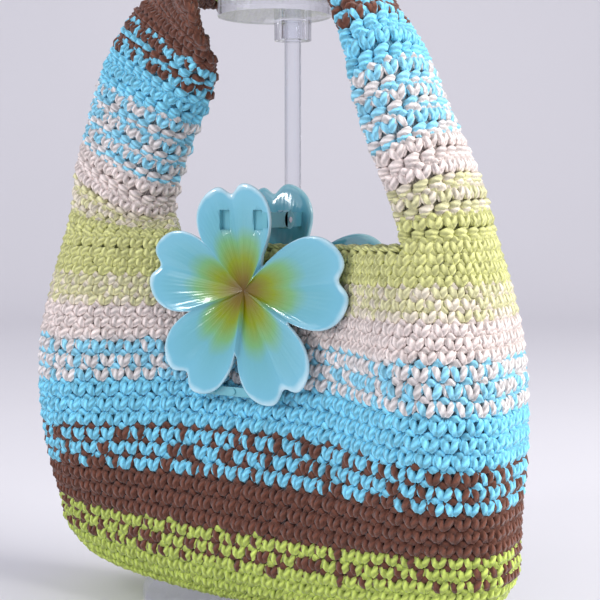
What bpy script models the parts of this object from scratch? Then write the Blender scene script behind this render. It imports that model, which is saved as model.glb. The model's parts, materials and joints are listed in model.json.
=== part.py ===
"""A crochet bag with one arched strap, hung on a clear stand, with a flower claw clip on its mouth.

Metres, Z up, the front of the bag faces -Y.
The origin is the centre of the stand's underside, below the post.
"""
import math

import bmesh
import bpy
import numpy as np
from mathutils import Matrix, Vector

# Bag sizes
BAG_WIDTH = 0.195
BAG_DEPTH = 0.082
RIM_HEIGHT = 0.1285
STRAP_TOP = 0.230
STRAP_DEPTH = 0.048
STRAP_BULGE = 0.013
FABRIC = 0.004
GAP = 0.0003
STRAP_GAP = 0.0005
SEAM_GAP = 0.0005
EDGING_RADIUS = 0.0015

# Claw clip sizes
CLIP_REACH = 0.043
CLIP_SHELL = 0.0022
CLIP_CUP = 0.006
CLIP_CENTRE_Y = 0.0135
CLIP_X = -0.003
HINGE_ABOVE_RIM = 0.0118
HINGE_ABOVE_CENTRE = 0.0258
HINGE_Z = RIM_HEIGHT + HINGE_ABOVE_RIM
CLIP_CENTRE_Z = HINGE_Z - HINGE_ABOVE_CENTRE
EAR_RADIUS = 0.0034
EAR_WIDTH = 0.0020
PIN_RADIUS = 0.0011
PIN_CLEARANCE = 0.0003
PIN_END = 0.0005
FRONT_EAR_X = 0.0104
BACK_EAR_X = 0.0080
SPRING_WIRE = 0.0005
SPRING_RADIUS = 0.0024
SPRING_TURNS = 4
SPRING_STEPS = 9
TINE_DROP = 0.0374
TINE_RADIUS = 0.0013
TINE_TAPER = 0.6
TINE_SPACING = 0.0085
TINES = 4
JAW_HEIGHT = 0.0034
JAW_THICK = 0.0020
SLOT_WIDTH = 0.0040
SLOT_HEIGHT = 0.0072
SLOT_MARGIN = 0.0003

# Stand sizes
BASE_RADIUS = 0.060
BASE_THICK = 0.005
BASE_EDGE = 0.0008
POST_RADIUS = 0.0032
PAD_RADIUS = 0.0215
PAD_THICK = 0.006
PAD_FORWARD = 0.0135
PAD_UNDER = 0.0073
SOCKET_RADIUS = 0.0072
SOCKET_LENGTH = 0.0075
POST_FIT = 0.0003
POST_SEAT = 0.003
SEAT_FLOOR = 0.002

# Where the bag hangs beside the post
HANG_CLEAR = 0.005
BAG_X = 0.0075
BAG_Y = -0.0284
BAG_Z = BASE_THICK + HANG_CLEAR

RING_POINTS = 72
STRAP_STEPS = 12
PINCH_SHARE = 0.30
PINCH_LIMIT = FABRIC + 3 * GAP
TURN_SAMPLES = 721
PANEL_SAMPLES = 360
PATH_STEP = 0.002

# Levels of the body. height: share of RIM_HEIGHT. width, depth: half sizes as shares of
# BAG_WIDTH and BAG_DEPTH. square: exponent of the plan. lift: rise at the ends as a share
# of RIM_HEIGHT. pinch: how far the middle of both panels is drawn together, 0 to 1.
# sway: how far the level leans to +X, as a share of BAG_WIDTH.
LEVELS = [
    # height width  depth  square lift    pinch  sway
    (0.000, 0.378, 0.100, 2.4,  0.046, 0.00,   0.008),
    (0.008, 0.420, 0.180, 2.6,  0.046, 0.00,   0.008),
    (0.042, 0.457, 0.250, 2.9,  0.044, 0.00,   0.008),
    (0.090, 0.480, 0.283, 3.1,  0.041, 0.00,   0.006),
    (0.190, 0.490, 0.296, 3.3,  0.025, 0.04,   0.002),
    (0.330, 0.494, 0.366, 3.4, -0.004, 0.38,  -0.004),
    (0.460, 0.500, 0.415, 3.4, -0.020, 0.66,  -0.006),
    (0.590, 0.500, 0.463, 3.3, -0.022, 0.865, -0.007),
    (0.730, 0.492, 0.500, 3.1,  0.000, 0.93,  -0.006),
    (0.870, 0.478, 0.450, 2.9,  0.010, 0.975, -0.007),
    (1.000, 0.458, 0.385, 2.7,  0.016, 0.99,  -0.010),
]
BASE_LEVEL_COUNT = 2
BASE_SPLIT = 0.45
BASE_RINGS = [0.35, 0.70]

# Stations of the strap from the rim to the seam on top. across: share of BAG_WIDTH from
# the middle. rise: share of the height from rim to top. back: share of STRAP_DEPTH.
# depth, bulge: shares of STRAP_DEPTH and STRAP_BULGE. turn, lean: degrees. wrap: degrees
# that each edge turns in. rim: how much of the section still follows the rim's plan.
RIGHT_STATIONS = [
    # across rise   back   depth bulge turn  lean  wrap   rim
    (0.442, 0.050,  0.00, 1.04, 1.10,  0.0,  0.0, 122.0, 1.00),
    (0.410, 0.270, -0.02, 1.00, 1.10,  4.0,  5.0, 122.0, 0.12),
    (0.356, 0.520, -0.04, 1.00, 1.15,  8.0, 10.0, 120.0, 0.00),
    (0.310, 0.715, -0.04, 1.00, 1.05,  9.0, 13.0, 116.0, 0.00),
    (0.240, 0.868,  0.03, 1.00, 0.75,  7.0, 12.0, 108.0, 0.00),
    (0.150, 0.985,  0.12, 1.10, 0.18,  2.0,  4.0,  98.0, 0.00),
    (0.000, 1.000,  0.16, 1.25, 0.06,  0.0,  0.0,  92.0, 0.00),
]
LEFT_STATIONS = [
    # across rise   back   depth bulge turn  lean  wrap   rim
    (0.458, 0.050,  0.00, 1.04, 1.10, -60.0,  0.0, 122.0, 1.00),
    (0.390, 0.240, -0.18, 1.00, 1.10, -76.0,  0.0, 118.0, 0.18),
    (0.332, 0.480, -0.20, 1.00, 1.04, -82.0,  0.0, 114.0, 0.00),
    (0.276, 0.720, -0.18, 1.10, 1.00, -80.0,  4.0, 112.0, 0.00),
    (0.212, 0.920, -0.10, 1.30, 0.60, -68.0, 12.0, 106.0, 0.00),
    (0.136, 1.016,  0.02, 1.24, 0.32, -34.0,  8.0,  98.0, 0.00),
    (0.000, 1.000,  0.16, 1.25, 0.06,   0.0,  0.0,  92.0, 0.00),
]
LEFT_SHIFT = 6
RIGHT_SHIFT = 0
STATION_STEPS = 2
SECTION_SQUARE = 2.4

# Petals of the flower. angle: degrees from +X in the front view. reach: share of
# CLIP_REACH. half: half angle in degrees.
PETALS = [
    # angle reach half
    (7.0,   1.07, 37.0),
    (97.0,  0.92, 41.0),
    (167.0, 0.97, 37.0),
    (232.0, 1.03, 35.0),
    (298.0, 1.02, 36.0),
]
PETAL_ROUND = 2.6
PETAL_NOTCH = 0.07
NOTCH_ANGLE = 5.0
WELD = 0.00001
FLOWER_HUB = 0.27
FLOWER_RINGS = [0.20, 0.55, 0.82, 1.00]
FLOWER_STEPS = 72

# Colours of the sub-parts: red, green, blue, roughness, metallic
COLOURS = {
    "lime_yarn": (0.50, 0.66, 0.20, 0.9, 0.0),
    "striped_yarn": (0.35, 0.62, 0.74, 0.9, 0.0),
    "strap_yarn": (0.80, 0.76, 0.66, 0.9, 0.0),
    "pale_yarn": (0.72, 0.74, 0.42, 0.9, 0.0),
    "blue_plastic": (0.28, 0.62, 0.76, 0.15, 0.0),
    "steel": (0.60, 0.60, 0.62, 0.3, 1.0),
    "clear_acrylic": (0.85, 0.87, 0.92, 0.05, 0.0),
}


def clear_scene():
    for old in list(bpy.data.objects):
        bpy.data.objects.remove(old, do_unlink=True)


def new_collection(name):
    group = bpy.data.collections.new(name)
    bpy.context.scene.collection.children.link(group)
    return group


def material(name):
    red, green, blue, rough, metal = COLOURS[name]
    mat = bpy.data.materials.get(name) or bpy.data.materials.new(name)
    mat.use_nodes = True
    shader = mat.node_tree.nodes["Principled BSDF"]
    shader.inputs["Base Color"].default_value = (red, green, blue, 1.0)
    shader.inputs["Roughness"].default_value = rough
    shader.inputs["Metallic"].default_value = metal
    return mat


def place(obj, group, colour, name):
    for holder in list(obj.users_collection):
        holder.objects.unlink(obj)
    group.objects.link(obj)
    obj.name = name
    obj.data.name = name
    if colour:
        obj.data.materials.clear()
        obj.data.materials.append(material(colour))
    return obj


def smooth(mesh, angle=50.0):
    mesh.shade_smooth()
    mesh.set_sharp_from_angle(angle=math.radians(angle))


def signed_power(values, power):
    return np.sign(values) * np.abs(values) ** power


def body_level(height):
    """The table's columns at a share of the rim height, straight between rows."""
    table = np.array(LEVELS)
    return [np.interp(height, table[:, 0], table[:, k]) for k in range(1, 7)]


def body_ring(height, count=RING_POINTS):
    """Points of the outer face around one level, evenly spaced, from the +X end."""
    width, depth, square, lift, pinch, sway = body_level(height)
    turn = np.linspace(0.0, 2.0 * math.pi, TURN_SAMPLES)
    x = width * BAG_WIDTH * signed_power(np.cos(turn), 2.0 / square)
    y = depth * BAG_DEPTH * signed_power(np.sin(turn), 2.0 / square)
    hold = pinch * np.exp(-(np.abs(x) / (PINCH_SHARE * BAG_WIDTH)) ** 4)
    deep = np.maximum(np.abs(y) - PINCH_LIMIT, 0.0)
    y = np.sign(y) * (np.minimum(np.abs(y), PINCH_LIMIT) + deep * (1.0 - hold))
    z = height * RIM_HEIGHT + lift * RIM_HEIGHT * (x / (width * BAG_WIDTH)) ** 2
    run = np.concatenate([[0.0], np.cumsum(np.hypot(np.diff(x), np.diff(y)))])
    even = np.linspace(0.0, run[-1], count, endpoint=False)
    x = x + sway * BAG_WIDTH
    return np.stack([np.interp(even, run, part) for part in (x, y, z)], axis=1)


def panel_y(x, z):
    """How far the outer face of a panel lies from the middle plane."""
    ring = body_ring(z / RIM_HEIGHT, PANEL_SAMPLES)
    back = ring[ring[:, 1] > 0.0]
    return float(np.interp(-x, -back[:, 0], back[:, 1]))


def station(stations, share):
    """A strap's table at a share of its run, on a smooth curve through the rows."""
    table = np.array(stations)
    at = share * (len(table) - 1)
    k = min(int(at), len(table) - 2)
    t = at - k
    before = table[max(k - 1, 0)]
    after = table[min(k + 2, len(table) - 1)]
    if k + 2 > len(table) - 1:
        after = table[k] * np.array([-1, 1, 1, 1, 1, -1, -1, 1, 1])
    a, b = table[k], table[k + 1]
    pull_a = 0.5 * (b - before)
    pull_b = 0.5 * (after - a)
    return ((2 * t**3 - 3 * t**2 + 1) * a + (t**3 - 2 * t**2 + t) * pull_a
            + (3 * t**2 - 2 * t**3) * b + (t**3 - t**2) * pull_b)


def strap_path(stations, share):
    row = station(stations, share)
    rise = RIM_HEIGHT + row[1] * (STRAP_TOP - RIM_HEIGHT)
    return np.array([row[0] * BAG_WIDTH, row[2] * STRAP_DEPTH, rise])


def strap_section(stations, share):
    """Points across a strap on the right-hand side, from its front edge to its back edge."""
    row = station(stations, share)
    after = strap_path(stations, min(share + PATH_STEP, 1.0))
    ahead = after - strap_path(stations, max(share - PATH_STEP, 0.0))
    if share > 1.0 - PATH_STEP:
        ahead = np.array([-1.0, 0.0, 0.0])
    ahead /= np.linalg.norm(ahead)
    turn, lean = math.radians(row[5]), math.radians(row[6])
    chord = np.array([-math.sin(turn), math.cos(turn) * math.cos(lean), -math.sin(lean)])
    chord -= chord.dot(ahead) * ahead
    chord /= np.linalg.norm(chord)
    outward = np.cross(chord, ahead)
    sweep = np.radians(row[7]) * np.linspace(-1.0, 1.0, STRAP_STEPS + 1)
    along = 0.5 * row[3] * STRAP_DEPTH * signed_power(np.sin(sweep), 2.0 / SECTION_SQUARE)
    out = row[4] * STRAP_BULGE * (signed_power(np.cos(sweep), 2.0 / SECTION_SQUARE) - 1.0)
    points = strap_path(stations, share) + along[:, None] * chord + out[:, None] * outward
    return even_run(points)


def even_run(points):
    run = np.concatenate([[0.0], np.cumsum(np.linalg.norm(np.diff(points, axis=0), axis=1))])
    even = np.linspace(0.0, run[-1], len(points))
    return np.stack([np.interp(even, run, part) for part in points.T], axis=1)


def rim_end(rise, side, shift):
    """The body's end arc at the rim, carried on upward by rise along the wall's slope."""
    top = body_ring(1.0)
    below = body_ring(LEVELS[-2][0])
    half = STRAP_STEPS // 2
    middle = shift + (0 if side > 0 else RING_POINTS // 2)
    pick = (middle + side * np.arange(-half, half + 1)) % RING_POINTS
    slope = (top[pick] - below[pick]) / (top[pick, 2:3] - below[pick, 2:3])
    return top[pick] + slope * rise


def strap_rows(side, stations, shift):
    """Sections of one strap, from the rim to the seam, each from front edge to back edge."""
    rows = [rim_end(STRAP_GAP + rise, side, shift) for rise in (0.0, 0.5 * FABRIC)]
    count = (len(stations) - 1) * STATION_STEPS
    for k in range(1, count + 1):
        share = k / count
        own = strap_section(stations, share) * np.array([side, 1.0, 1.0])
        follow = max(station(stations, share)[8], 0.0)
        reach = strap_path(stations, share)[2] - RIM_HEIGHT
        rows.append(follow * rim_end(reach, side, shift) + (1.0 - follow) * own)
    rows[-1][:, 0] = side * SEAM_GAP
    return rows


def sheet(name, rows, closed, group, colour, centre=None):
    """A grid of points as an open surface, given the fabric's thickness on its inner side."""
    mesh = bpy.data.meshes.new(name)
    form = bmesh.new()
    grid = [[form.verts.new(point) for point in row] for row in rows]
    span = len(grid[0]) if closed else len(grid[0]) - 1
    for lower, upper in zip(grid[:-1], grid[1:]):
        for k in range(span):
            n = (k + 1) % len(lower)
            form.faces.new((lower[k], lower[n], upper[n], upper[k]))
    if centre is not None:
        hub = form.verts.new(centre)
        for k in range(span):
            form.faces.new((hub, grid[0][(k + 1) % span], grid[0][k]))
    form.to_mesh(mesh)
    form.free()
    obj = place(bpy.data.objects.new(name, mesh), group, colour, name)
    thick = obj.modifiers.new("fabric", "SOLIDIFY")
    thick.thickness = FABRIC
    thick.offset = -1.0
    smooth(mesh)
    return obj


def to_bag(points):
    return np.asarray(points) + np.array([BAG_X, BAG_Y, BAG_Z])


def build_body(group):
    start = LEVELS[BASE_LEVEL_COUNT - 1][0]
    split = start + BASE_SPLIT * (LEVELS[BASE_LEVEL_COUNT][0] - start)
    slack = GAP / BAG_DEPTH / 4.0
    heights = [split + slack] + [row[0] for row in LEVELS[BASE_LEVEL_COUNT:]]
    rows = [to_bag(body_ring(height)) for height in heights]
    sheet("bag_body", rows, True, group, "striped_yarn")
    floor = body_ring(LEVELS[0][0])
    middle = np.array([LEVELS[0][6] * BAG_WIDTH, 0.0, 0.0])
    rings = [middle + (floor - middle) * np.array([f, f, f * f]) for f in BASE_RINGS]
    rings += [body_ring(row[0]) for row in LEVELS[:BASE_LEVEL_COUNT]] + [body_ring(split - slack)]
    sheet("bag_base", [to_bag(ring) for ring in rings], True, group, "lime_yarn", to_bag(middle))


def build_straps(group):
    right = [to_bag(row) for row in strap_rows(1, RIGHT_STATIONS, RIGHT_SHIFT)]
    left = [to_bag(row[::-1]) for row in strap_rows(-1, LEFT_STATIONS, LEFT_SHIFT)]
    sheet("strap_right", right, False, group, "strap_yarn")
    sheet("strap_left", left, False, group, "strap_yarn")


def tube(name, points, radius, group, colour):
    curve = bpy.data.curves.new(name, "CURVE")
    curve.dimensions = "3D"
    curve.bevel_depth = radius
    curve.bevel_resolution = 2
    curve.use_fill_caps = True
    line = curve.splines.new("POLY")
    line.points.add(len(points) - 1)
    for slot, point in zip(line.points, points):
        slot.co = (*point, 1.0)
    obj = bpy.data.objects.new(name, curve)
    return place(obj, group, colour, name)


def build_edging(group):
    """A chain of slip stitches along each free stretch of the rim, between the straps."""
    ring = body_ring(1.0)
    half = STRAP_STEPS // 2
    inset = 0.5 * FABRIC
    rows = {
        "rim_edging_back": np.arange(RIGHT_SHIFT + half, RING_POINTS // 2 + LEFT_SHIFT - half + 1),
        "rim_edging_front": np.arange(RING_POINTS // 2 + LEFT_SHIFT + half,
                                      RING_POINTS + RIGHT_SHIFT - half + 1),
    }
    for name, pick in rows.items():
        pick = pick[1:-1] % RING_POINTS
        ahead = ring[(pick + 1) % RING_POINTS] - ring[(pick - 1) % RING_POINTS]
        inward = np.stack([-ahead[:, 1], ahead[:, 0], np.zeros(len(pick))], axis=1)
        inward /= np.linalg.norm(inward, axis=1)[:, None]
        points = ring[pick] + inset * inward
        points[:, 2] += EDGING_RADIUS + 2.0 * GAP
        tube(name, to_bag(points), EDGING_RADIUS, group, "pale_yarn")


def petal_radius(angle):
    """The flower's outline: distance from its centre at an angle in degrees."""
    best = FLOWER_HUB * CLIP_REACH
    for middle, reach, half in PETALS:
        away = abs((angle - middle + 180.0) % 360.0 - 180.0)
        if away >= half:
            continue
        round_off = (1.0 - (away / half) ** PETAL_ROUND) ** (1.0 / PETAL_ROUND)
        notch = 1.0 - PETAL_NOTCH * math.exp(-((away / NOTCH_ANGLE) ** 2))
        best = max(best, reach * CLIP_REACH * round_off * notch)
    return best


def flower_depth(radius):
    """How far the cupped shell lies in front of the middle plane at a radius."""
    return CLIP_CENTRE_Y + CLIP_CUP * (radius / CLIP_REACH) ** 1.5


def flower(side):
    """The cupped shell of five petals, side -1 in front of the bag, +1 behind it."""
    mesh = bpy.data.meshes.new("flower")
    form = bmesh.new()
    hub = form.verts.new((0.0, side * flower_depth(0.0), 0.0))
    rings = []
    for share in FLOWER_RINGS:
        ring = []
        for k in range(FLOWER_STEPS):
            angle = 360.0 * k / FLOWER_STEPS + PETALS[0][0]
            radius = share * petal_radius(angle)
            x = radius * math.cos(math.radians(angle))
            z = radius * math.sin(math.radians(angle))
            ring.append(form.verts.new((x, side * flower_depth(radius), z)))
        rings.append(ring)
    for k in range(FLOWER_STEPS):
        n = (k + 1) % FLOWER_STEPS
        form.faces.new((hub, rings[0][k], rings[0][n]))
        for inner, outer in zip(rings[:-1], rings[1:]):
            form.faces.new((inner[k], outer[k], outer[n], inner[n]))
    form.to_mesh(mesh)
    form.free()
    if side > 0:
        mesh.flip_normals()
    return mesh


def mesh_of(obj):
    """The evaluated mesh of an object, welded, in world space; the object is removed."""
    bpy.context.view_layer.update()
    mesh = bpy.data.meshes.new_from_object(obj.evaluated_get(bpy.context.evaluated_depsgraph_get()))
    mesh.transform(obj.matrix_world)
    form = bmesh.new()
    form.from_mesh(mesh)
    bmesh.ops.remove_doubles(form, verts=form.verts, dist=WELD)
    form.to_mesh(mesh)
    form.free()
    bpy.data.objects.remove(obj, do_unlink=True)
    return mesh


def cutter(name, mesh, tools):
    obj = bpy.data.objects.new(name, mesh)
    tools.objects.link(obj)
    obj.hide_render = True
    obj.display_type = "WIRE"
    return obj


def combine(obj, other, operation):
    cut = obj.modifiers.new(other.name, "BOOLEAN")
    cut.operation = operation
    cut.solver = "EXACT"
    cut.object = other
    return cut


def cylinder(radius, length, centre, axis, sides=24):
    form = bmesh.new()
    bmesh.ops.create_cone(form, cap_ends=True, segments=sides, radius1=radius, radius2=radius,
                          depth=length)
    turn = Vector((0.0, 0.0, 1.0)).rotation_difference(Vector(axis)).to_matrix().to_4x4()
    bmesh.ops.transform(form, matrix=Matrix.Translation(centre) @ turn, verts=form.verts)
    mesh = bpy.data.meshes.new("cylinder")
    form.to_mesh(mesh)
    form.free()
    return mesh


def box(low, high):
    form = bmesh.new()
    bmesh.ops.create_cube(form, size=1.0)
    size = [b - a for a, b in zip(low, high)]
    middle = [0.5 * (a + b) for a, b in zip(low, high)]
    bmesh.ops.scale(form, vec=size, verts=form.verts)
    bmesh.ops.translate(form, vec=middle, verts=form.verts)
    mesh = bpy.data.meshes.new("box")
    form.to_mesh(mesh)
    form.free()
    return mesh


def jaw_depth():
    """How far the inner face of the petals lies from the middle plane at the teeth."""
    return flower_depth(TINE_DROP) - CLIP_SHELL


def jaw_bar(side):
    """The bar behind the lower petals that carries the teeth."""
    z = -TINE_DROP
    reach = 0.5 * TINE_SPACING * TINES
    inner = side * (jaw_depth() - JAW_THICK)
    outer = side * (jaw_depth() + 0.5 * CLIP_SHELL)
    return box((-reach, min(inner, outer), z - 0.5 * JAW_HEIGHT),
               (reach, max(inner, outer), z + 0.5 * JAW_HEIGHT))


def tine(x, side):
    """One tooth of the jaw, from its bar to the face of the panel."""
    root = jaw_depth() - 0.5 * JAW_THICK
    tip = panel_y(CLIP_X + x, CLIP_CENTRE_Z - TINE_DROP) + 2.0 * GAP
    form = bmesh.new()
    bmesh.ops.create_cone(form, cap_ends=True, segments=8, radius1=TINE_RADIUS,
                          radius2=TINE_TAPER * TINE_RADIUS, depth=root - tip)
    turn = Matrix.Rotation(side * math.radians(90.0), 4, "X")
    middle = (x, side * 0.5 * (root + tip), -TINE_DROP)
    bmesh.ops.transform(form, matrix=Matrix.Translation(middle) @ turn, verts=form.verts)
    mesh = bpy.data.meshes.new("tine")
    form.to_mesh(mesh)
    form.free()
    return mesh


def build_clip_half(name, side, ear_x, group, tools):
    """One half: the flower shell, two hinge ears and a row of tines, as one solid.

    Its origin is on the hinge axis, so it turns about it.
    """
    shell = bpy.data.objects.new(name, flower(side))
    place(shell, group, "blue_plastic", name)
    thick = shell.modifiers.new("shell", "SOLIDIFY")
    thick.thickness = CLIP_SHELL
    thick.offset = -1.0
    raise_up = HINGE_Z - CLIP_CENTRE_Z
    ears = [jaw_bar(side)]
    for sign in (-1.0, 1.0):
        x = sign * ear_x
        root = flower_depth(math.hypot(x, raise_up)) - 0.5 * CLIP_SHELL
        low = (x - 0.5 * EAR_WIDTH, min(0.0, side * root), raise_up - EAR_RADIUS)
        high = (x + 0.5 * EAR_WIDTH, max(0.0, side * root), raise_up + EAR_RADIUS)
        ears.append(box(low, high))
        ears.append(cylinder(EAR_RADIUS, EAR_WIDTH, (x, 0.0, raise_up), (1.0, 0.0, 0.0)))
    reach = TINE_SPACING * (TINES - 1) / 2.0
    for x in np.linspace(-reach, reach, TINES):
        ears.append(tine(float(x), side))
    for count, mesh in enumerate(ears):
        combine(shell, cutter(f"{name}_add_{count}", mesh, tools), "UNION")
    bore = cylinder(PIN_RADIUS + PIN_CLEARANCE, 4.0 * ear_x, (0.0, 0.0, raise_up), (1.0, 0.0, 0.0))
    combine(shell, cutter(f"{name}_bore", bore, tools), "DIFFERENCE")
    slot_x = ear_x - 0.5 * (EAR_WIDTH + SLOT_WIDTH) - SLOT_MARGIN
    near, far = 0.5 * CLIP_CENTRE_Y, 2.0 * CLIP_CENTRE_Y
    for sign in (-1.0, 1.0):
        x = sign * slot_x
        low = (x - 0.5 * SLOT_WIDTH, min(side * near, side * far), raise_up - 0.5 * SLOT_HEIGHT)
        high = (x + 0.5 * SLOT_WIDTH, max(side * near, side * far), raise_up + 0.5 * SLOT_HEIGHT)
        combine(shell, cutter(f"{name}_slot_{int(sign)}", box(low, high), tools), "DIFFERENCE")
    mesh = mesh_of(shell)
    mesh.transform(Matrix.Translation((0.0, 0.0, -raise_up)))
    solid = bpy.data.objects.new(name, mesh)
    place(solid, group, "blue_plastic", name)
    solid.location = (BAG_X + CLIP_X, BAG_Y, BAG_Z + HINGE_Z)
    smooth(mesh, 35.0)
    return solid


def build_clip(group, tools):
    build_clip_half("clip_front", -1, FRONT_EAR_X, group, tools)
    build_clip_half("clip_back", 1, BACK_EAR_X, group, tools)
    axis = Vector((BAG_X + CLIP_X, BAG_Y, BAG_Z + HINGE_Z))
    length = 2.0 * (FRONT_EAR_X + PIN_END) + EAR_WIDTH
    pin = bpy.data.objects.new("clip_pin", cylinder(PIN_RADIUS, length, (0, 0, 0), (1, 0, 0), 16))
    place(pin, group, "steel", "clip_pin")
    pin.location = axis
    smooth(pin.data)
    room = BACK_EAR_X - 0.5 * EAR_WIDTH - GAP - SPRING_WIRE
    points = []
    steps = SPRING_STEPS * SPRING_TURNS
    for k in range(steps + 1):
        turn = 2.0 * math.pi * SPRING_TURNS * k / steps
        x = -room + 2.0 * room * k / steps
        points.append(axis + Vector((x, SPRING_RADIUS * math.sin(turn), SPRING_RADIUS * math.cos(turn))))
    tube("clip_spring", points, SPRING_WIRE, group, "steel")


def build_stand(group, tools):
    pad_top = BAG_Z + STRAP_TOP - PAD_UNDER
    base = bpy.data.objects.new("stand_base", cylinder(BASE_RADIUS, BASE_THICK,
                                                       (0, 0, 0.5 * BASE_THICK), (0, 0, 1), 64))
    place(base, group, "clear_acrylic", "stand_base")
    edge = base.modifiers.new("edge", "BEVEL")
    edge.width = BASE_EDGE
    edge.segments = 1
    edge.limit_method = "ANGLE"
    seat = cylinder(POST_RADIUS + POST_FIT, 2.0 * POST_SEAT, (0, 0, BASE_THICK), (0, 0, 1), 20)
    combine(base, cutter("base_seat", seat, tools), "DIFFERENCE")
    pad_middle = pad_top - 0.5 * PAD_THICK
    pad = bpy.data.objects.new("stand_top", cylinder(PAD_RADIUS, PAD_THICK,
                                                     (0, -PAD_FORWARD, pad_middle), (0, 0, 1), 48))
    place(pad, group, "clear_acrylic", "stand_top")
    socket_bottom = pad_top - PAD_THICK - SOCKET_LENGTH
    socket_top = pad_top - SEAT_FLOOR
    socket = cylinder(SOCKET_RADIUS, socket_top - socket_bottom,
                      (0, 0, 0.5 * (socket_top + socket_bottom)), (0, 0, 1), 28)
    combine(pad, cutter("pad_socket", socket, tools), "UNION")
    hole = cylinder(POST_RADIUS + POST_FIT, 2.0 * SOCKET_LENGTH, (0, 0, socket_bottom), (0, 0, 1), 20)
    combine(pad, cutter("socket_hole", hole, tools), "DIFFERENCE")
    low = BASE_THICK - POST_SEAT + GAP
    high = socket_bottom + SOCKET_LENGTH - GAP
    post = bpy.data.objects.new("stand_post", cylinder(POST_RADIUS, high - low,
                                                       (0, 0, 0.5 * (low + high)), (0, 0, 1), 20))
    place(post, group, "clear_acrylic", "stand_post")
    smooth(post.data)
    smooth(base.data, 35.0)
    smooth(pad.data, 35.0)


def main():
    clear_scene()
    group = new_collection("crochet_bag")
    tools = new_collection("cutters")
    build_body(group)
    build_straps(group)
    build_edging(group)
    build_clip(group, tools)
    build_stand(group, tools)


main()
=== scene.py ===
# %% [markdown]
# # A crochet shoulder bag, hung on a clear stand
# The real thing is a small bag in single crochet, worked with two strands of cotton held together. It hangs by
# its strap on an acrylic stand, and a flower-shaped claw clip pinches its mouth. This lesson lays real stitches,
# strand by strand, over the fixed model, because on this object the stitches are the look.
# The first cell loads that fixed model. Its box is kept, so that the finished piece can be measured against it.

# %% Load the fixed model
import json
import math

import bmesh
import bpy
import numpy as np
from mathutils import Matrix, Vector

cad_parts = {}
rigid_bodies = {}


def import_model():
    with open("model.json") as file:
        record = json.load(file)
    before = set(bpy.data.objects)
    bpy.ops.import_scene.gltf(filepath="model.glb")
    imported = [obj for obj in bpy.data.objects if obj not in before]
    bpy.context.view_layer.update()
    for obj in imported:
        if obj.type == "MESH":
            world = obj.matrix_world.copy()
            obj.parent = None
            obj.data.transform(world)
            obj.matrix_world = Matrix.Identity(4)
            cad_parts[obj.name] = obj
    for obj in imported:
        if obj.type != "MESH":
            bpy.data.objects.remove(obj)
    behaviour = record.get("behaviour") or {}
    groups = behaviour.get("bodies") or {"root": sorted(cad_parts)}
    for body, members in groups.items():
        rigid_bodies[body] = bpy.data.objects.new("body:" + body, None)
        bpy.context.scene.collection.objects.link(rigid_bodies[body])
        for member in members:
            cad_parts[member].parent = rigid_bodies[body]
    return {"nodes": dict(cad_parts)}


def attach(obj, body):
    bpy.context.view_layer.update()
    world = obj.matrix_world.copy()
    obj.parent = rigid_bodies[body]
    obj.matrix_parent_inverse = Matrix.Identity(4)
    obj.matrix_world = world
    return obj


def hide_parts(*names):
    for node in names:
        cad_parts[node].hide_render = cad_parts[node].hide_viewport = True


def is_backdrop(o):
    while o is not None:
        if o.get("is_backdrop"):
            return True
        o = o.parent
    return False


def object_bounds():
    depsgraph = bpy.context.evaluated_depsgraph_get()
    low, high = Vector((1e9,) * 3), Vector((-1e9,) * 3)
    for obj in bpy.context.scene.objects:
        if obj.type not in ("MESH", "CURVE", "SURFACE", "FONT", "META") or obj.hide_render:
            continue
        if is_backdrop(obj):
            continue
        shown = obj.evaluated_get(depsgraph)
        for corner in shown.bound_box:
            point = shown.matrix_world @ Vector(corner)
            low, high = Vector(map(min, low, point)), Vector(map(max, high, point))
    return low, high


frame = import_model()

cad_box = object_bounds()
print("fixed model:", [round(v * 1000) for v in (cad_box[1] - cad_box[0])], "mm")

# %% [markdown]
# ## Camera
# The photograph is taken from the front right, a little above the middle of the bag, with a fairly long lens.
# A camera could be aimed by eye, but its place was worked out here from the rows of stitches: they are level on
# the real bag, so the way they converge gives the height and the distance.

# %% Camera
CAMERA_PLACE = (0.2564, -0.4213, 0.1585)
CAMERA_TURN = 31.0
CAMERA_DIP = 4.7
CAMERA_LENS = 75.0


def put(name, data):
    """A new object in the scene."""
    thing = bpy.data.objects.new(name, data)
    bpy.context.scene.collection.objects.link(thing)
    return thing


camera = put("camera", bpy.data.cameras.new("camera"))
camera.data.lens = CAMERA_LENS
camera.location = CAMERA_PLACE
camera.rotation_euler = (math.radians(90.0 - CAMERA_DIP), 0.0, math.radians(CAMERA_TURN))
bpy.context.scene.camera = camera
bpy.context.scene.view_settings.view_transform = "Standard"
print("camera:", CAMERA_PLACE, "looking", CAMERA_TURN, "degrees left of straight back")

# %% [markdown]
# ## Floor
# A flat floor and a wall would meet in a line behind the bag and draw the eye. A photographer hangs a sheet of
# paper instead, which curves up behind the object. Its side view is a short profile, drawn out to both sides.

# %% Floor sweep
SWEEP_WIDTH = 12.0
SWEEP_BACK = 1.1
SWEEP_FRONT = 4.0
SWEEP_RISE = 2.6
SWEEP_ROUND = 0.5
SWEEP_STEPS = 16


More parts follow.
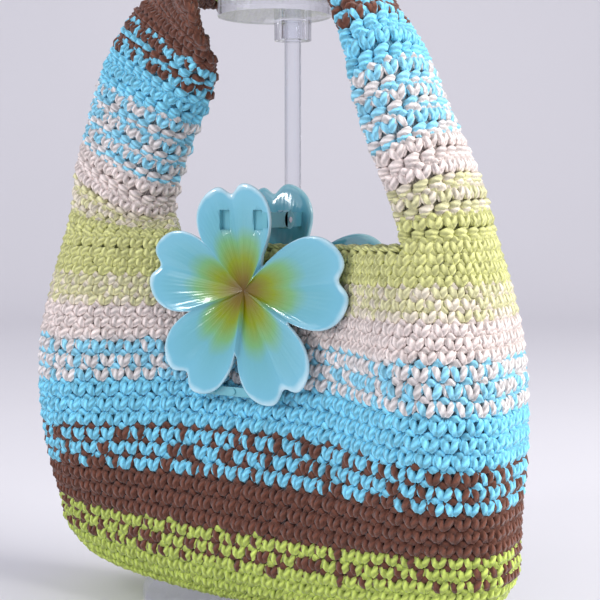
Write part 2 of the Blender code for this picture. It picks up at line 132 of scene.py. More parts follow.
def make_sweep():
    """A floor that bends up into a wall, turned to face the camera."""
    profile = [(-SWEEP_FRONT, 0.0), (SWEEP_BACK, 0.0)]
    for k in range(1, SWEEP_STEPS + 1):
        turn = 0.5 * math.pi * k / SWEEP_STEPS
        profile.append((SWEEP_BACK + SWEEP_ROUND * math.sin(turn), SWEEP_ROUND * (1.0 - math.cos(turn))))
    profile.append((SWEEP_BACK + SWEEP_ROUND, SWEEP_RISE))
    points = [(x, y, z) for y, z in profile for x in (-0.5 * SWEEP_WIDTH, 0.5 * SWEEP_WIDTH)]
    faces = [(2 * k, 2 * k + 1, 2 * k + 3, 2 * k + 2) for k in range(len(profile) - 1)]
    mesh = bpy.data.meshes.new("floor")
    mesh.from_pydata(points, [], faces)
    mesh.shade_smooth()
    sweep = put("floor", mesh)
    sweep.rotation_euler[2] = math.radians(CAMERA_TURN)
    sweep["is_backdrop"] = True
    return sweep


floor = make_sweep()
print("floor faces:", len(floor.data.polygons))

# %% [markdown]
# ## Light
# The photograph is lit by a window on the right. A wide and weak lamp opens the shade on the left, and a narrow
# strip draws a line of shine on the plastic petals. A picture of a room could light the scene as well, but three
# soft boxes are easier to follow and to move.

# %% Lamps
BAG_MIDDLE = (0.0, -0.02, 0.12)
# name, place, size, power, colour
LAMPS = [
    ("window", (1.00, 0.08, 0.74), 0.7, 15.5, (1.0, 0.985, 0.97)),
    ("fill", (-0.75, -1.05, 0.9), 1.2, 7.5, (0.96, 0.97, 1.0)),
    ("strip", (-0.62, -0.95, 0.42), 0.14, 2.2, (1.0, 1.0, 1.0)),
]
ROOM_COLOUR = (0.84, 0.82, 0.94, 1.0)
ROOM_STRENGTH = 0.62

for lamp_name, lamp_place, size, power, colour in LAMPS:
    lamp = put(lamp_name, bpy.data.lights.new(lamp_name, "AREA"))
    lamp.data.size = size
    lamp.data.energy = power
    lamp.data.color = colour
    lamp.location = lamp_place
    lamp.rotation_euler = (Vector(BAG_MIDDLE) - Vector(lamp_place)).to_track_quat("-Z", "Y").to_euler()
world = bpy.data.worlds.new("studio")
bpy.context.scene.world = world
world.use_nodes = True
room = world.node_tree.nodes["Background"]
room.inputs["Color"].default_value = ROOM_COLOUR
room.inputs["Strength"].default_value = ROOM_STRENGTH

# %% [markdown]
# ## A way to write shader maths
# Node trees are quick to read as pictures and slow to read as code. This small class wraps one output socket,
# so that `1 - mask` or `lines * 0.2` adds the Math nodes by itself. Any other node comes from its `node` method,
# which sets the node's own settings first and then fills its inputs.

# %% The socket class
class Flow:
    """One output of a material's node tree, or the tree alone when it has no output yet."""

    def __init__(self, tree, output=None):
        self.tree = tree
        self.output = output

    def node(self, kind, settings=None, inputs=None, output=0):
        made = self.tree.nodes.new("ShaderNode" + kind)
        for name, value in (settings or {}).items():
            if name == "stops":
                ramp = made.color_ramp
                while len(ramp.elements) < len(value):
                    ramp.elements.new(0.5)
                for stop, (place, colour) in zip(ramp.elements, value):
                    stop.position = place
                    stop.color = (*colour, 1.0)
            else:
                setattr(made, name, value)
        for name, value in (inputs or {}).items():
            if isinstance(value, Flow):
                self.tree.links.new(value.output, made.inputs[name])
            else:
                made.inputs[name].default_value = value
        return Flow(self.tree, made.outputs[output])

    def maths(self, operation, first, second=None):
        values = {0: first} if second is None else {0: first, 1: second}
        return self.node("Math", {"operation": operation}, values)

    def __add__(self, other):
        return self.maths("ADD", self, other)

    def __sub__(self, other):
        return self.maths("SUBTRACT", self, other)

    def __rsub__(self, other):
        return self.maths("SUBTRACT", other, self)

    def __mul__(self, other):
        return self.maths("MULTIPLY", self, other)

    def __truediv__(self, other):
        return self.maths("DIVIDE", self, other)

    __radd__ = __add__
    __rmul__ = __mul__

    def sine(self):
        return self.maths("SINE", self)

    def mix(self, factor, first, second, blend="MIX"):
        """Two colours, blended; colours are four numbers or a Flow."""
        settings = {"data_type": "RGBA", "blend_type": blend}
        return self.node("Mix", settings, {0: factor, 6: first, 7: second}, 2)


print("sockets can now be added, subtracted, multiplied and divided")

# %% [markdown]
# ## Starting a material
# Every material begins in the same way: what is constant is set on the shader, and only what varies is linked.
# Three things come back in several materials and get a helper: the map of a piece, a noise that is fixed to the
# piece so that it moves along with it, and a fine relief that bends the light without any new faces.

# %% Helpers for materials
def new_material(name, **constants):
    """A material whose shader has these constants, with a Flow to build the rest."""
    mat = bpy.data.materials.new(name)
    mat.use_nodes = True
    shader = mat.node_tree.nodes["Principled BSDF"]
    for key, value in constants.items():
        shader.inputs[key.replace("_", " ")].default_value = value
    return mat, shader, Flow(mat.node_tree)


def link(flow, shader, socket):
    flow.tree.links.new(flow.output, shader.inputs[socket])


def map_parts(start, name):
    """The two numbers of a piece's map."""
    place = start.node("UVMap", {"uv_map": name}, None, "UV")
    first = start.node("SeparateXYZ", None, {"Vector": place}, "X")
    return first, Flow(start.tree, first.output.node.outputs["Y"])


def noise(start, scale, detail):
    """Clouds from 0 to 1, on average a half."""
    place = start.node("TexCoord", None, None, "Object")
    return start.node("TexNoise", None, {"Vector": place, "Scale": scale, "Detail": detail}, "Fac")


def relief(start, shader, height, strength, distance):
    bump = start.node("Bump", None, {"Height": height, "Strength": strength, "Distance": distance}, "Normal")
    link(bump, shader, "Normal")


print("a material starts with its constants")

# %% [markdown]
# ## The paper
# The floor is matte paper, pale and faintly lilac. One flat colour would look like a screen, so two close tones
# lie on it in large clouds.

# %% Paper
PAPER_TONES = (0.75, 0.745, 0.77, 1.0), (0.78, 0.775, 0.80, 1.0)
PAPER_CLOUD = 3.0

paper, paper_shader, paper_start = new_material("paper", Roughness=0.9)
link(paper_start.mix(noise(paper_start, PAPER_CLOUD, 2.0), *PAPER_TONES), paper_shader, "Base Color")
floor.data.materials.append(paper)
print("floor covering:", paper.name)

# %% [markdown]
# ## The yarn
# The real yarn is matte cotton, plied from fine strands. A picture of yarn could be mapped on, but a stitch
# bends it too much for that. Here every strand carries its own colour and a small map of its surface: once
# round, and millimetres along. Slanting lines on that map are the plies, with painted shade darkening the
# furrows between them; a fine noise is the fibre, and a coarser one is wear. The cloth behind the stitches has
# the same material, darker: painted shade for the gaps between the strands.

# %% Yarn material
PLY_COUNT = 3.0
PLY_LENGTH = 2.6
# how much darker the furrow between two plies is: painted shade
PLY_SHADE = 0.42
FIBRE_SCALE = 1500.0
FIBRE_SHADE = 0.44
WEAR_SCALE = 120.0
WEAR_SHADE = 0.28
YARN_RELIEF = 0.0005


def yarn_material(name, shade):
    mat, shader, start = new_material(name, Roughness=0.88, Sheen_Weight=0.25, Specular_IOR_Level=0.25)
    colour = start.node("Attribute", {"attribute_name": "yarn"}, None, "Color")
    around, along = map_parts(start, "ply")
    lines = (2.0 * math.pi * (PLY_COUNT * around + along / PLY_LENGTH)).sine() * 0.5 + 0.5
    fibre = noise(start, FIBRE_SCALE, 3.0)
    wear = noise(start, WEAR_SCALE, 2.0)
    # the ply lines darken the furrows between plies as painted shade; fibre and wear vary the yarn's own tone
    light = (1.0 - PLY_SHADE * (1.0 - lines)) * (1.0 + FIBRE_SHADE * (fibre - 0.5))
    light = light * (1.0 + WEAR_SHADE * (wear - 0.5)) * shade
    grey = start.node("CombineColor", None, {"Red": light, "Green": light, "Blue": light}, "Color")
    link(start.mix(1.0, colour, grey, "MULTIPLY"), shader, "Base Color")
    relief(start, shader, (lines + fibre) * 0.7, 0.8, YARN_RELIEF)
    return mat


yarn = yarn_material("cotton_yarn", 1.20)
# the lining is the yarn's colour darkened: painted shade for the gaps between the strands
lining = yarn_material("cotton_lining_painted_shade", 0.62)
print("yarn materials:", yarn.name, lining.name)

# %% [markdown]
# ## The form under the stitches
# A maker works to a form that the yarn settles into. The body is an oval tube whose ends bulge and whose middle
# is pinched flat, and each strap is a curled band that twists on its way up. Both could be sculpted, but a short
# table of levels says the same thing and can be read. The tables are those of the fixed model, with smooth curves
# between their rows.

# %% Sizes and tables of the form
MM = 0.001
BAG_WIDTH = 0.195
BAG_DEPTH = 0.082
RIM_HEIGHT = 0.1285
STRAP_TOP = 0.230
STRAP_DEPTH = 0.048
STRAP_BULGE = 0.013
FABRIC = 0.004
GAP = 0.0003
BAG_PLACE = np.array([0.0075, -0.0284, 0.010])
PINCH_SHARE = 0.30
PINCH_LIMIT = FABRIC + 3 * GAP
RING_POINTS = 72
HALF_STRAP = 6
SECTION_SQUARE = 2.4
FINE_RING = 720
FINE_LEVELS = 180
LEVELS = [
    # height width  depth  square lift    pinch  sway
    (0.000, 0.378, 0.100, 2.4,  0.046, 0.00,   0.008),
    (0.008, 0.420, 0.180, 2.6,  0.046, 0.00,   0.008),
    (0.042, 0.457, 0.250, 2.9,  0.044, 0.00,   0.008),
    (0.090, 0.480, 0.283, 3.1,  0.041, 0.00,   0.006),
    (0.190, 0.490, 0.296, 3.3,  0.025, 0.04,   0.002),
    (0.330, 0.494, 0.366, 3.4, -0.004, 0.38,  -0.004),
    (0.460, 0.500, 0.415, 3.4, -0.020, 0.66,  -0.006),
    (0.590, 0.500, 0.463, 3.3, -0.022, 0.865, -0.007),
    (0.730, 0.492, 0.500, 3.1,  0.000, 0.93,  -0.006),
    (0.870, 0.478, 0.450, 2.9,  0.010, 0.975, -0.007),
    (1.000, 0.458, 0.385, 2.7,  0.016, 0.99,  -0.010),
]
RIGHT_STATIONS = [
    # across rise   back   depth bulge turn  lean  wrap   rim
    (0.442, 0.050,  0.00, 1.04, 1.10,  0.0,  0.0, 122.0, 1.00),
    (0.410, 0.270, -0.02, 1.00, 1.10,  4.0,  5.0, 122.0, 0.12),
    (0.356, 0.520, -0.04, 1.00, 1.15,  8.0, 10.0, 120.0, 0.00),
    (0.310, 0.715, -0.04, 1.00, 1.05,  9.0, 13.0, 116.0, 0.00),
    (0.240, 0.868,  0.03, 1.00, 0.75,  7.0, 12.0, 108.0, 0.00),
    (0.150, 0.985,  0.12, 1.10, 0.18,  2.0,  4.0,  98.0, 0.00),
    (0.000, 1.000,  0.16, 1.25, 0.06,  0.0,  0.0,  92.0, 0.00),
]
LEFT_STATIONS = [
    # across rise   back   depth bulge turn  lean  wrap   rim
    (0.458, 0.050,  0.00, 1.04, 1.10, -60.0,  0.0, 122.0, 1.00),
    (0.390, 0.240, -0.18, 1.00, 1.10, -76.0,  0.0, 118.0, 0.18),
    (0.332, 0.480, -0.20, 1.00, 1.04, -82.0,  0.0, 114.0, 0.00),
    (0.276, 0.720, -0.18, 1.10, 1.00, -80.0,  4.0, 112.0, 0.00),
    (0.212, 0.920, -0.10, 1.30, 0.60, -68.0, 12.0, 106.0, 0.00),
    (0.136, 1.016,  0.02, 1.24, 0.32, -34.0,  8.0,  98.0, 0.00),
    (0.000, 1.000,  0.16, 1.25, 0.06,   0.0,  0.0,  92.0, 0.00),
]
LEFT_SHIFT = 6
RIGHT_SHIFT = 0
print("levels of the body:", len(LEVELS), "stations of a strap:", len(RIGHT_STATIONS))

# %% [markdown]
# ## From tables to smooth lines
# The rows of a table are joined by a curve that passes through every row and doesn't overshoot much. Stitches
# are all of a size, so points have to be evenly spaced along the cloth: each line is walked, and its points are
# picked by the distance run.

# %% Smooth and even lines
NEVER_ZERO = 1e-12


def ease(t, first, last, first_pull, last_pull, span):
    """The smooth curve between two rows, t from 0 to 1, which leaves and arrives with these pulls."""
    return ((2 * t**3 - 3 * t**2 + 1) * first + (t**3 - 2 * t**2 + t) * span * first_pull
            + (3 * t**2 - 2 * t**3) * last + (t**3 - t**2) * span * last_pull)


def run_of(steps):
    """The distance run at every point of a line, from the steps between its points."""
    return np.concatenate([[0.0], np.cumsum(steps)])


def found_at(points, run, at):
    """The places on a line at these distances."""
    return np.stack([np.interp(at, run, column) for column in points.T], axis=1)


def signed_power(values, power):
    return np.sign(values) * np.abs(values) ** power


def smooth_rows(table, at):
    """Every column of a table at a value of its first column."""
    table = np.array(table)
    pull = np.gradient(table, table[:, 0], axis=0)
    k = int(np.clip(np.searchsorted(table[:, 0], at) - 1, 0, len(table) - 2))
    span = table[k + 1, 0] - table[k, 0]
    return ease((at - table[k, 0]) / span, table[k], table[k + 1], pull[k], pull[k + 1], span)


print("half way up the bag is", round(2.0 * smooth_rows(LEVELS, 0.5)[1] * BAG_WIDTH * 1000), "mm wide")

# %% [markdown]
# ## A wall that stitches can be laid on
# A stitch has to know where its place on the cloth is and which way is out. The wall answers both for any place,
# also between its own points, so that rows of any number can be laid on the same form.

# %% The wall
class Wall:
    """A grid of points on a surface, and the way to find any place between them."""

    def __init__(self, rows, closed):
        self.rows = np.array(rows)
        self.closed = closed
        across = np.gradient(self.rows, axis=1)
        if closed:
            across = np.roll(self.rows, -1, 1) - np.roll(self.rows, 1, 1)
        normal = np.cross(across, np.gradient(self.rows, axis=0))
        self.normals = normal / np.maximum(np.linalg.norm(normal, axis=2, keepdims=True), NEVER_ZERO)

    def at(self, across, up):
        """Points and outward normals at shares across and up; both may be arrays."""
        count_up, count = self.rows.shape[:2]
        column = across * (count if self.closed else count - 1)
        row = up * (count_up - 1)
        j = np.floor(column).astype(int)
        if not self.closed:
            j = np.clip(j, 0, count - 2)
        i = np.clip(np.floor(row).astype(int), 0, count_up - 2)
        s, t = (column - j)[..., None], (row - i)[..., None]
        j, n = j % count, (j + 1) % count

        def blend(grid):
            low = grid[i, j] * (1.0 - s) + grid[i, n] * s
            return low * (1.0 - t) + (grid[i + 1, j] * (1.0 - s) + grid[i + 1, n] * s) * t

        normal = blend(self.normals)
        return blend(self.rows), normal / np.linalg.norm(normal, axis=-1, keepdims=True)


table_cloth = Wall([[(x, y, 0.0) for x in range(3)] for y in range(3)], False)
print("a flat wall faces", table_cloth.at(np.array([0.5]), np.array([0.5]))[1][0])

# %% [markdown]
# ## The body's wall
# Seen from above, the bag is a rounded oblong. The clip holds its middle together, so the further a point of the
# middle would stand out, the more it is drawn in. A cloth simulation could find that shape too, but it wouldn't
# stop at the same place as the fixed model.

# %% The body
def body_ring(height):
    """Points round the bag at a share of the rim height, evenly spaced from the right-hand end."""
    _, width, depth, square, lift, pinch, sway = smooth_rows(LEVELS, height)
    turn = np.linspace(0.0, 2.0 * math.pi, 2 * FINE_RING + 1)
    x = width * BAG_WIDTH * signed_power(np.cos(turn), 2.0 / square)
    y = depth * BAG_DEPTH * signed_power(np.sin(turn), 2.0 / square)
    hold = pinch * np.exp(-(np.abs(x) / (PINCH_SHARE * BAG_WIDTH)) ** 4)
    deep = np.maximum(np.abs(y) - PINCH_LIMIT, 0.0)
    y = np.sign(y) * (np.minimum(np.abs(y), PINCH_LIMIT) + deep * (1.0 - hold))
    z = height * RIM_HEIGHT + lift * RIM_HEIGHT * (x / (width * BAG_WIDTH)) ** 2
    run = run_of(np.hypot(np.diff(x), np.diff(y)))
    points = np.stack([x + sway * BAG_WIDTH, y, z], axis=1)
    return found_at(points, run, np.linspace(0.0, run[-1], FINE_RING, endpoint=False)) + BAG_PLACE


body = Wall([body_ring(h) for h in np.linspace(0.0, 1.0, FINE_LEVELS)], True)
round_length = np.linalg.norm(np.diff(body.rows[-1], axis=0), axis=1).sum()
print("the rim is", round(round_length * 1000), "mm round")

# %% [markdown]
# ## The strap's path and section
# A strap is a flat band that rolls in at its sides, as crochet worked to and fro does. The table says where its
# middle runs, and how the band is turned, leaned and curled there. Past the seam on top it goes on as its own
# mirror image, which keeps the curve level at the seam.

# %% A strap's path and section
STRAP_ACROSS = 49
STATION_STEP = 0.002
MIRRORED = np.array([-1, 1, 1, 1, 1, -1, -1, 1, 1])


def station(stations, share):
    """A strap's table at a share of its run, on a smooth curve through the rows."""
    table = np.array(stations)
    at = share * (len(table) - 1)
    k = min(int(at), len(table) - 2)
    before = table[max(k - 1, 0)]
    after = table[k + 2] if k + 2 < len(table) else table[k] * MIRRORED
    return ease(at - k, table[k], table[k + 1], table[k + 1] - before, after - table[k], 0.5)


def strap_path(stations, share):
    row = station(stations, share)
    return np.array([row[0] * BAG_WIDTH, row[2] * STRAP_DEPTH, RIM_HEIGHT + row[1] * (STRAP_TOP - RIM_HEIGHT)])


def strap_section(stations, share):
    """Points across a right-hand strap, from its front edge to its back edge."""
    row = station(stations, share)
    ahead = (strap_path(stations, min(share + STATION_STEP, 1.0))
             - strap_path(stations, max(share - STATION_STEP, 0.0)))
    if share > 1.0 - STATION_STEP:
        ahead = np.array([-1.0, 0.0, 0.0])
    ahead /= np.linalg.norm(ahead)
    turn, lean = math.radians(row[5]), math.radians(row[6])
    chord = np.array([-math.sin(turn), math.cos(turn) * math.cos(lean), -math.sin(lean)])
    chord -= chord.dot(ahead) * ahead
    chord /= np.linalg.norm(chord)
    outward = np.cross(chord, ahead)
    sweep = np.radians(row[7]) * np.linspace(-1.0, 1.0, 4 * STRAP_ACROSS)
    along = 0.5 * row[3] * STRAP_DEPTH * signed_power(np.sin(sweep), 2.0 / SECTION_SQUARE)
    out = row[4] * STRAP_BULGE * (signed_power(np.cos(sweep), 2.0 / SECTION_SQUARE) - 1.0)
    points = strap_path(stations, share) + along[:, None] * chord + out[:, None] * outward
    run = run_of(np.linalg.norm(np.diff(points, axis=0), axis=1))
    return found_at(points, run, np.linspace(0.0, run[-1], STRAP_ACROSS))


print("points across a strap:", len(strap_section(RIGHT_STATIONS, 0.5)))

# %% [markdown]
# ## The straps' walls
# Where a strap begins it isn't a band yet: it is the end of the bag's wall, carried on upward, and it turns into
# the band little by little. Both straps are made as right-hand ones. The left one is then mirrored.

# %% The straps
STRAP_FINE = 96
RIM_ROWS = 5


def rim_end(rise, side, shift):
    """The body's end at the rim, from front to back, carried on upward along the wall."""
    middle = shift + (0 if side > 0 else RING_POINTS // 2)
    across = (middle + side * HALF_STRAP * np.linspace(-1.0, 1.0, STRAP_ACROSS)) / RING_POINTS
    top, _ = body.at(across, np.ones(STRAP_ACROSS))
    below, _ = body.at(across, np.full(STRAP_ACROSS, LEVELS[-2][0]))
    return top + (top - below) / (top[:, 2:3] - below[:, 2:3]) * rise


def strap_wall(side, stations, shift):
    """One strap's outer surface, its rows from the rim to the seam on top."""
    start = strap_path(stations, 0.0)[2] - RIM_HEIGHT
    rows = [rim_end(rise, side, shift) for rise in np.linspace(0.0, start, RIM_ROWS + 1)[:-1]]
    for share in np.linspace(0.0, 1.0, STRAP_FINE):
        own = strap_section(stations, share) * np.array([side, 1.0, 1.0]) + BAG_PLACE
        follow = float(np.clip(station(stations, share)[8], 0.0, 1.0))
        reach = strap_path(stations, share)[2] - RIM_HEIGHT
        rows.append(follow * rim_end(reach, side, shift) + (1.0 - follow) * own)
    rows[-1][:, 0] = BAG_PLACE[0] + side * GAP
    grid = np.array(rows)[:, ::side]
    run = run_of(np.linalg.norm(np.diff(grid, axis=0), axis=2).mean(axis=1))
    flat = found_at(grid.reshape(len(grid), -1), run, np.linspace(0.0, run[-1], len(grid)))
    wall = Wall(flat.reshape(grid.shape), False)
    wall.length = run[-1]
    return wall


right_strap = strap_wall(1, RIGHT_STATIONS, RIGHT_SHIFT)
left_strap = strap_wall(-1, LEFT_STATIONS, LEFT_SHIFT)
print("straps:", round(right_strap.length * 1000), "and", round(left_strap.length * 1000), "mm to the seam")

# %% [markdown]
# ## One strand of yarn
# Every stitch is a few short bends of yarn. A curve with a bevel could draw each one, but thousands of curve
# objects are slow. Instead all the strands of a piece are swept at once with arrays. First a five-sided ring of
# points is set round every point of every centre line.

# %% Rings of points
STRAND_SIDES = 5


def tube_points(paths, normals, radius):
    """Rings round centre lines; paths and normals are strands x points x 3."""
    ahead = np.gradient(paths, axis=1)
    ahead /= np.linalg.norm(ahead, axis=2, keepdims=True)
    sideways = np.cross(ahead, normals)
    sideways /= np.maximum(np.linalg.norm(sideways, axis=2, keepdims=True), NEVER_ZERO)
    upward = np.cross(sideways, ahead)
    turn = 2.0 * math.pi * np.arange(STRAND_SIDES) / STRAND_SIDES
    ring = np.cos(turn)[:, None] * sideways[:, :, None] + np.sin(turn)[:, None] * upward[:, :, None]
    return paths[:, :, None] + radius[:, :, None, None] * ring


print("a strand has", STRAND_SIDES, "sides")

# %% [markdown]
# ## Its faces and its map
# The rings are joined by four-sided faces, and a cap closes each end, so that every strand is a solid body. The
# map lists the same faces in the same order: how far round, and how many millimetres along.

# %% Faces and map of a strand
def tube_faces(strands, points):
    """The corners of the side faces, of the caps at the start and of the caps at the end."""
    first = (np.arange(strands) * points * STRAND_SIDES)[:, None, None]
    a = first + np.arange(points - 1)[None, :, None] * STRAND_SIDES
    j = np.arange(STRAND_SIDES)[None, None, :]
    n = (j + 1) % STRAND_SIDES
    quads = np.stack([a + j, a + n, a + n + STRAND_SIDES, a + j + STRAND_SIDES], axis=-1)[..., ::-1]
    low = first[:, 0] + np.arange(STRAND_SIDES)[None]
    high = low[:, ::-1] + (points - 1) * STRAND_SIDES
    return quads, low, high


def tube_maps(paths):
    """The ply map of those faces."""
    step = np.linalg.norm(np.diff(paths, axis=1), axis=2) * 1000.0
    along = np.concatenate([np.zeros((len(paths), 1)), np.cumsum(step, axis=1)], axis=1)
    u = np.broadcast_to(np.arange(STRAND_SIDES) / STRAND_SIDES, (*step.shape, STRAND_SIDES))
    w = u + 1.0 / STRAND_SIDES
    near = np.broadcast_to(along[:, :-1, None], u.shape)
    far = np.broadcast_to(along[:, 1:, None], u.shape)
    corners = ((u, near), (w, near), (w, far), (u, far))
    quads = np.stack([np.stack(corner, -1) for corner in corners], axis=-2)[..., ::-1, :]
    low = np.stack([u[:, 0], near[:, 0]], axis=-1)
    high = np.stack([u[:, 0, ::-1], far[:, -1]], axis=-1)
    return quads, low, high


print("faces of a strand with five points:", 4 * STRAND_SIDES + 2)

# %% [markdown]
# ## Many strands as one piece
# Points, faces, map and colours are handed over as whole arrays, which takes a moment where adding face by face
# would take minutes.

# %% Sweep many strands at once
def sweep_strands(name, paths, normals, radius, colours):
    """A piece of many closed tubes of yarn."""
    strands, points = paths.shape[:2]
    verts = tube_points(paths, normals, radius)
    faces = tube_faces(strands, points)
    loops = np.concatenate([part.ravel() for part in faces])
    maps = np.concatenate([part.reshape(-1, 2) for part in tube_maps(paths)])
    sizes = np.repeat([4, STRAND_SIDES], [faces[0].size // 4, 2 * strands])
    tint = np.concatenate([colours, np.ones((strands, 1))], axis=1)
    tint = np.repeat(tint, points * STRAND_SIDES, axis=0)
    mesh = bpy.data.meshes.new(name)
    mesh.vertices.add(verts.size // 3)
    mesh.vertices.foreach_set("co", verts.ravel().astype(np.float32))
    mesh.loops.add(len(loops))
    mesh.loops.foreach_set("vertex_index", loops.astype(np.int32))
    mesh.polygons.add(len(sizes))
    mesh.polygons.foreach_set("loop_start", run_of(sizes[:-1]).astype(np.int32))
    mesh.polygons.foreach_set("use_smooth", np.ones(len(sizes), dtype=bool))
    mesh.update(calc_edges=True)
    mesh.uv_layers.new(name="ply").data.foreach_set("uv", maps.ravel().astype(np.float32))
    layer = mesh.attributes.new("yarn", "FLOAT_COLOR", "POINT")
    layer.data.foreach_set("color", tint.ravel().astype(np.float32))
    mesh.materials.append(yarn)
    print(f"{name}: {strands} strands, {len(loops) - 2 * len(sizes)} triangles")
    return put(name, mesh)


print("yarn for the sweep:", yarn.name)

# %% [markdown]
# ## The stitches
# A single crochet stitch shows two legs that rise from one point, like a V, and in the mouth of each V lies a
# short loop, between the feet of the next row. The straps are worked to and fro, so every second row shows its
# back, a plump bar. Each kind of strand is a small table: how far across the stitch, how far up the row, and how
# deep in millimetres. The tables are bent over the form, so the stitches stretch and turn with it.

# %% Tables of the strands in a stitch
STRAND_RADIUS = 0.00095
SWELL = [0.55, 0.98, 1.12, 1.04, 0.60]
# across, up, depth in mm
LEG = [(0.03, -0.52, -1.7), (0.10, -0.36, -0.10), (0.20, -0.08, 0.45),
       (0.29, 0.18, 0.15), (0.29, 0.42, -1.7)]
LOOP = [(0.24, 0.38, -2.2), (0.36, 0.48, -0.75), (0.50, 0.52, -0.05),
        (0.64, 0.48, -0.75), (0.76, 0.38, -2.2)]
BAR = [(-0.47, -0.18, -2.2), (-0.28, -0.06, -0.45), (0.00, 0.04, 0.35),
       (0.28, 0.08, -0.45), (0.47, 0.14, -2.2)]
FOOT = [(-0.04, -0.72, -1.8), (0.10, -0.56, -0.70), (0.21, -0.40, -0.35),
        (0.32, -0.22, -0.70), (0.38, 0.00, -1.8)]


def part(table, across, up, out, flip, size, strand):
    """One strand of a stitch: its table, moved, mirrored, thickened, and which yarn it is."""
    moved = [(flip * (a + across), b + up, (d + out) * MM) for a, b, d in table]
    return np.array(moved), size, strand


FRONT_STITCH = [
    part(LEG, 0.00, 0.0, 0.15, 1.0, 1.34, 0),
    part(LEG, 0.15, 0.02, -0.20, 1.0, 0.92, 1),
    part(LEG, 0.00, 0.0, 0.15, -1.0, 1.34, 0),
    part(LEG, 0.15, 0.02, -0.20, -1.0, 0.92, 1),
    part(LOOP, -0.58, -0.05, 0.05, 1.0, 1.60, 1),
]
BACK_STITCH = [
    part(BAR, 0.04, 0.14, 0.20, 1.0, 1.45, 0),
    part(BAR, -0.04, -0.22, -0.15, 1.0, 1.30, 1),
    part(FOOT, 0.0, 0.0, 0.0, 1.0, 1.05, 1),
    part(FOOT, 0.0, 0.0, 0.0, -1.0, 1.05, 0),
]
PLAIN_STITCH = [
    part(BAR, 0.0, 0.0, 0.0, 1.0, 1.35, 0),
    part(FOOT, 0.0, 0.0, 0.0, 1.0, 1.15, 1),
    part(FOOT, 0.0, 0.0, 0.0, -1.0, 1.15, 0),
]
print("strands in a stitch:", len(FRONT_STITCH), len(BACK_STITCH), len(PLAIN_STITCH))

# %% [markdown]
# ## The colours
# The cotton changes colour after each ball, and for a few rows two colours are held together, which gives the
# speckled bands. The colours were chosen beside the photograph, on the usual scale from 0 to 255.

# %% Colours
def linear(red, green, blue):
    """A colour chosen on the 0 to 255 scale, as the shader wants it."""
    return tuple((c / 255.0) ** 2.2 for c in (red, green, blue))


COLOURS = {
    "lime": linear(188, 206, 100),
    "brown": linear(108, 68, 54),
    "blue": linear(128, 212, 240),
    "white": linear(232, 219, 213),
    "pale": linear(208, 210, 140),
}
PALE_BLEND = 0.28
BLUE_BLEND = 0.10
BLENDS = {("pale", "white"): PALE_BLEND, ("blue", "white"): BLUE_BLEND}


def held_together(first, second):
    """The colours of two strands worked as one; next to white the eye takes them for a blend."""
    one, two = np.array(COLOURS[first]), np.array(COLOURS[second])
    share = BLENDS.get(tuple(sorted((first, second))), 0.0)
    return one + share * (two - one), two + share * (one - two)


print("colours:", ", ".join(COLOURS))

# %% [markdown]
# ## The stripes as rows
# Each stripe is a name, a number of rows and the colours of its two strands. On the body the tops of the stripes
# can be measured, and the rows between two tops are all of a height, so the edges of the rows are worked out from
# the tops. The straps run through the same colours backwards, up to lime at the seam.

# %% Stripes and rows
# name, rows, first strand, second strand, height of the stripe's top as a share of the rim
BODY_STRIPES = [
    ("lime", 3, "lime", "lime", 0.105),
    ("lime_brown", 3, "lime", "brown", 0.216),
    ("brown", 3, "brown", "brown", 0.353),
    ("brown_blue", 3, "blue", "brown", 0.486),
    ("blue", 3, "blue", "blue", 0.620),
    ("blue_white", 3, "white", "blue", 0.740),
    ("white", 3, "white", "white", 0.835),
    ("white_pale", 3, "pale", "white", 0.920),
    ("pale", 3, "pale", "pale", 1.000),
]
# name, rows, first strand, second strand, from the rim upward
STRAP_STRIPES = [
    ("pale", 3, "pale", "pale"),
    ("pale_white", 3, "pale", "white"),
    ("white", 3, "white", "white"),
    ("white_blue", 6, "blue", "white"),
    ("blue", 3, "blue", "blue"),
    ("blue_brown", 3, "blue", "brown"),
    ("brown", 8, "brown", "brown"),
    ("lime", 12, "lime", "lime"),
]

body_rows = []
low = 0.0
for _, count, one, two, top in BODY_STRIPES:
    for k in range(count):
        body_rows.append((low + (top - low) * k / count, low + (top - low) * (k + 1) / count, one, two))
    low = top
strap_yarns = [(one, two) for _, count, one, two in STRAP_STRIPES for _ in range(count)]


def strap_pair(row):
    """The two colour names of a strap's row."""
    return strap_yarns[min(row, len(strap_yarns) - 1)]


print(len(body_rows), "rows up the body")

# %% [markdown]
# ## Laying stitches
# Hands never make two stitches alike. So each one is moved a little, its thickness and tint vary, and now and
# then its two strands change places, which is what makes the speckled rows lively. The draw has a fixed seed, so
# the bag is the same every time.

# %% Lay stitches on a wall
STITCHES_ROUND = 80
DRIFT = 0.42
WOBBLE = 0.035
THICKNESS_WOBBLE = 0.05
TINT_WOBBLE = 0.07
TWIST_CHANCE = 0.26
LEG_TWIST_CHANCE = 0.16
SEED = 7
draw = np.random.default_rng(SEED)


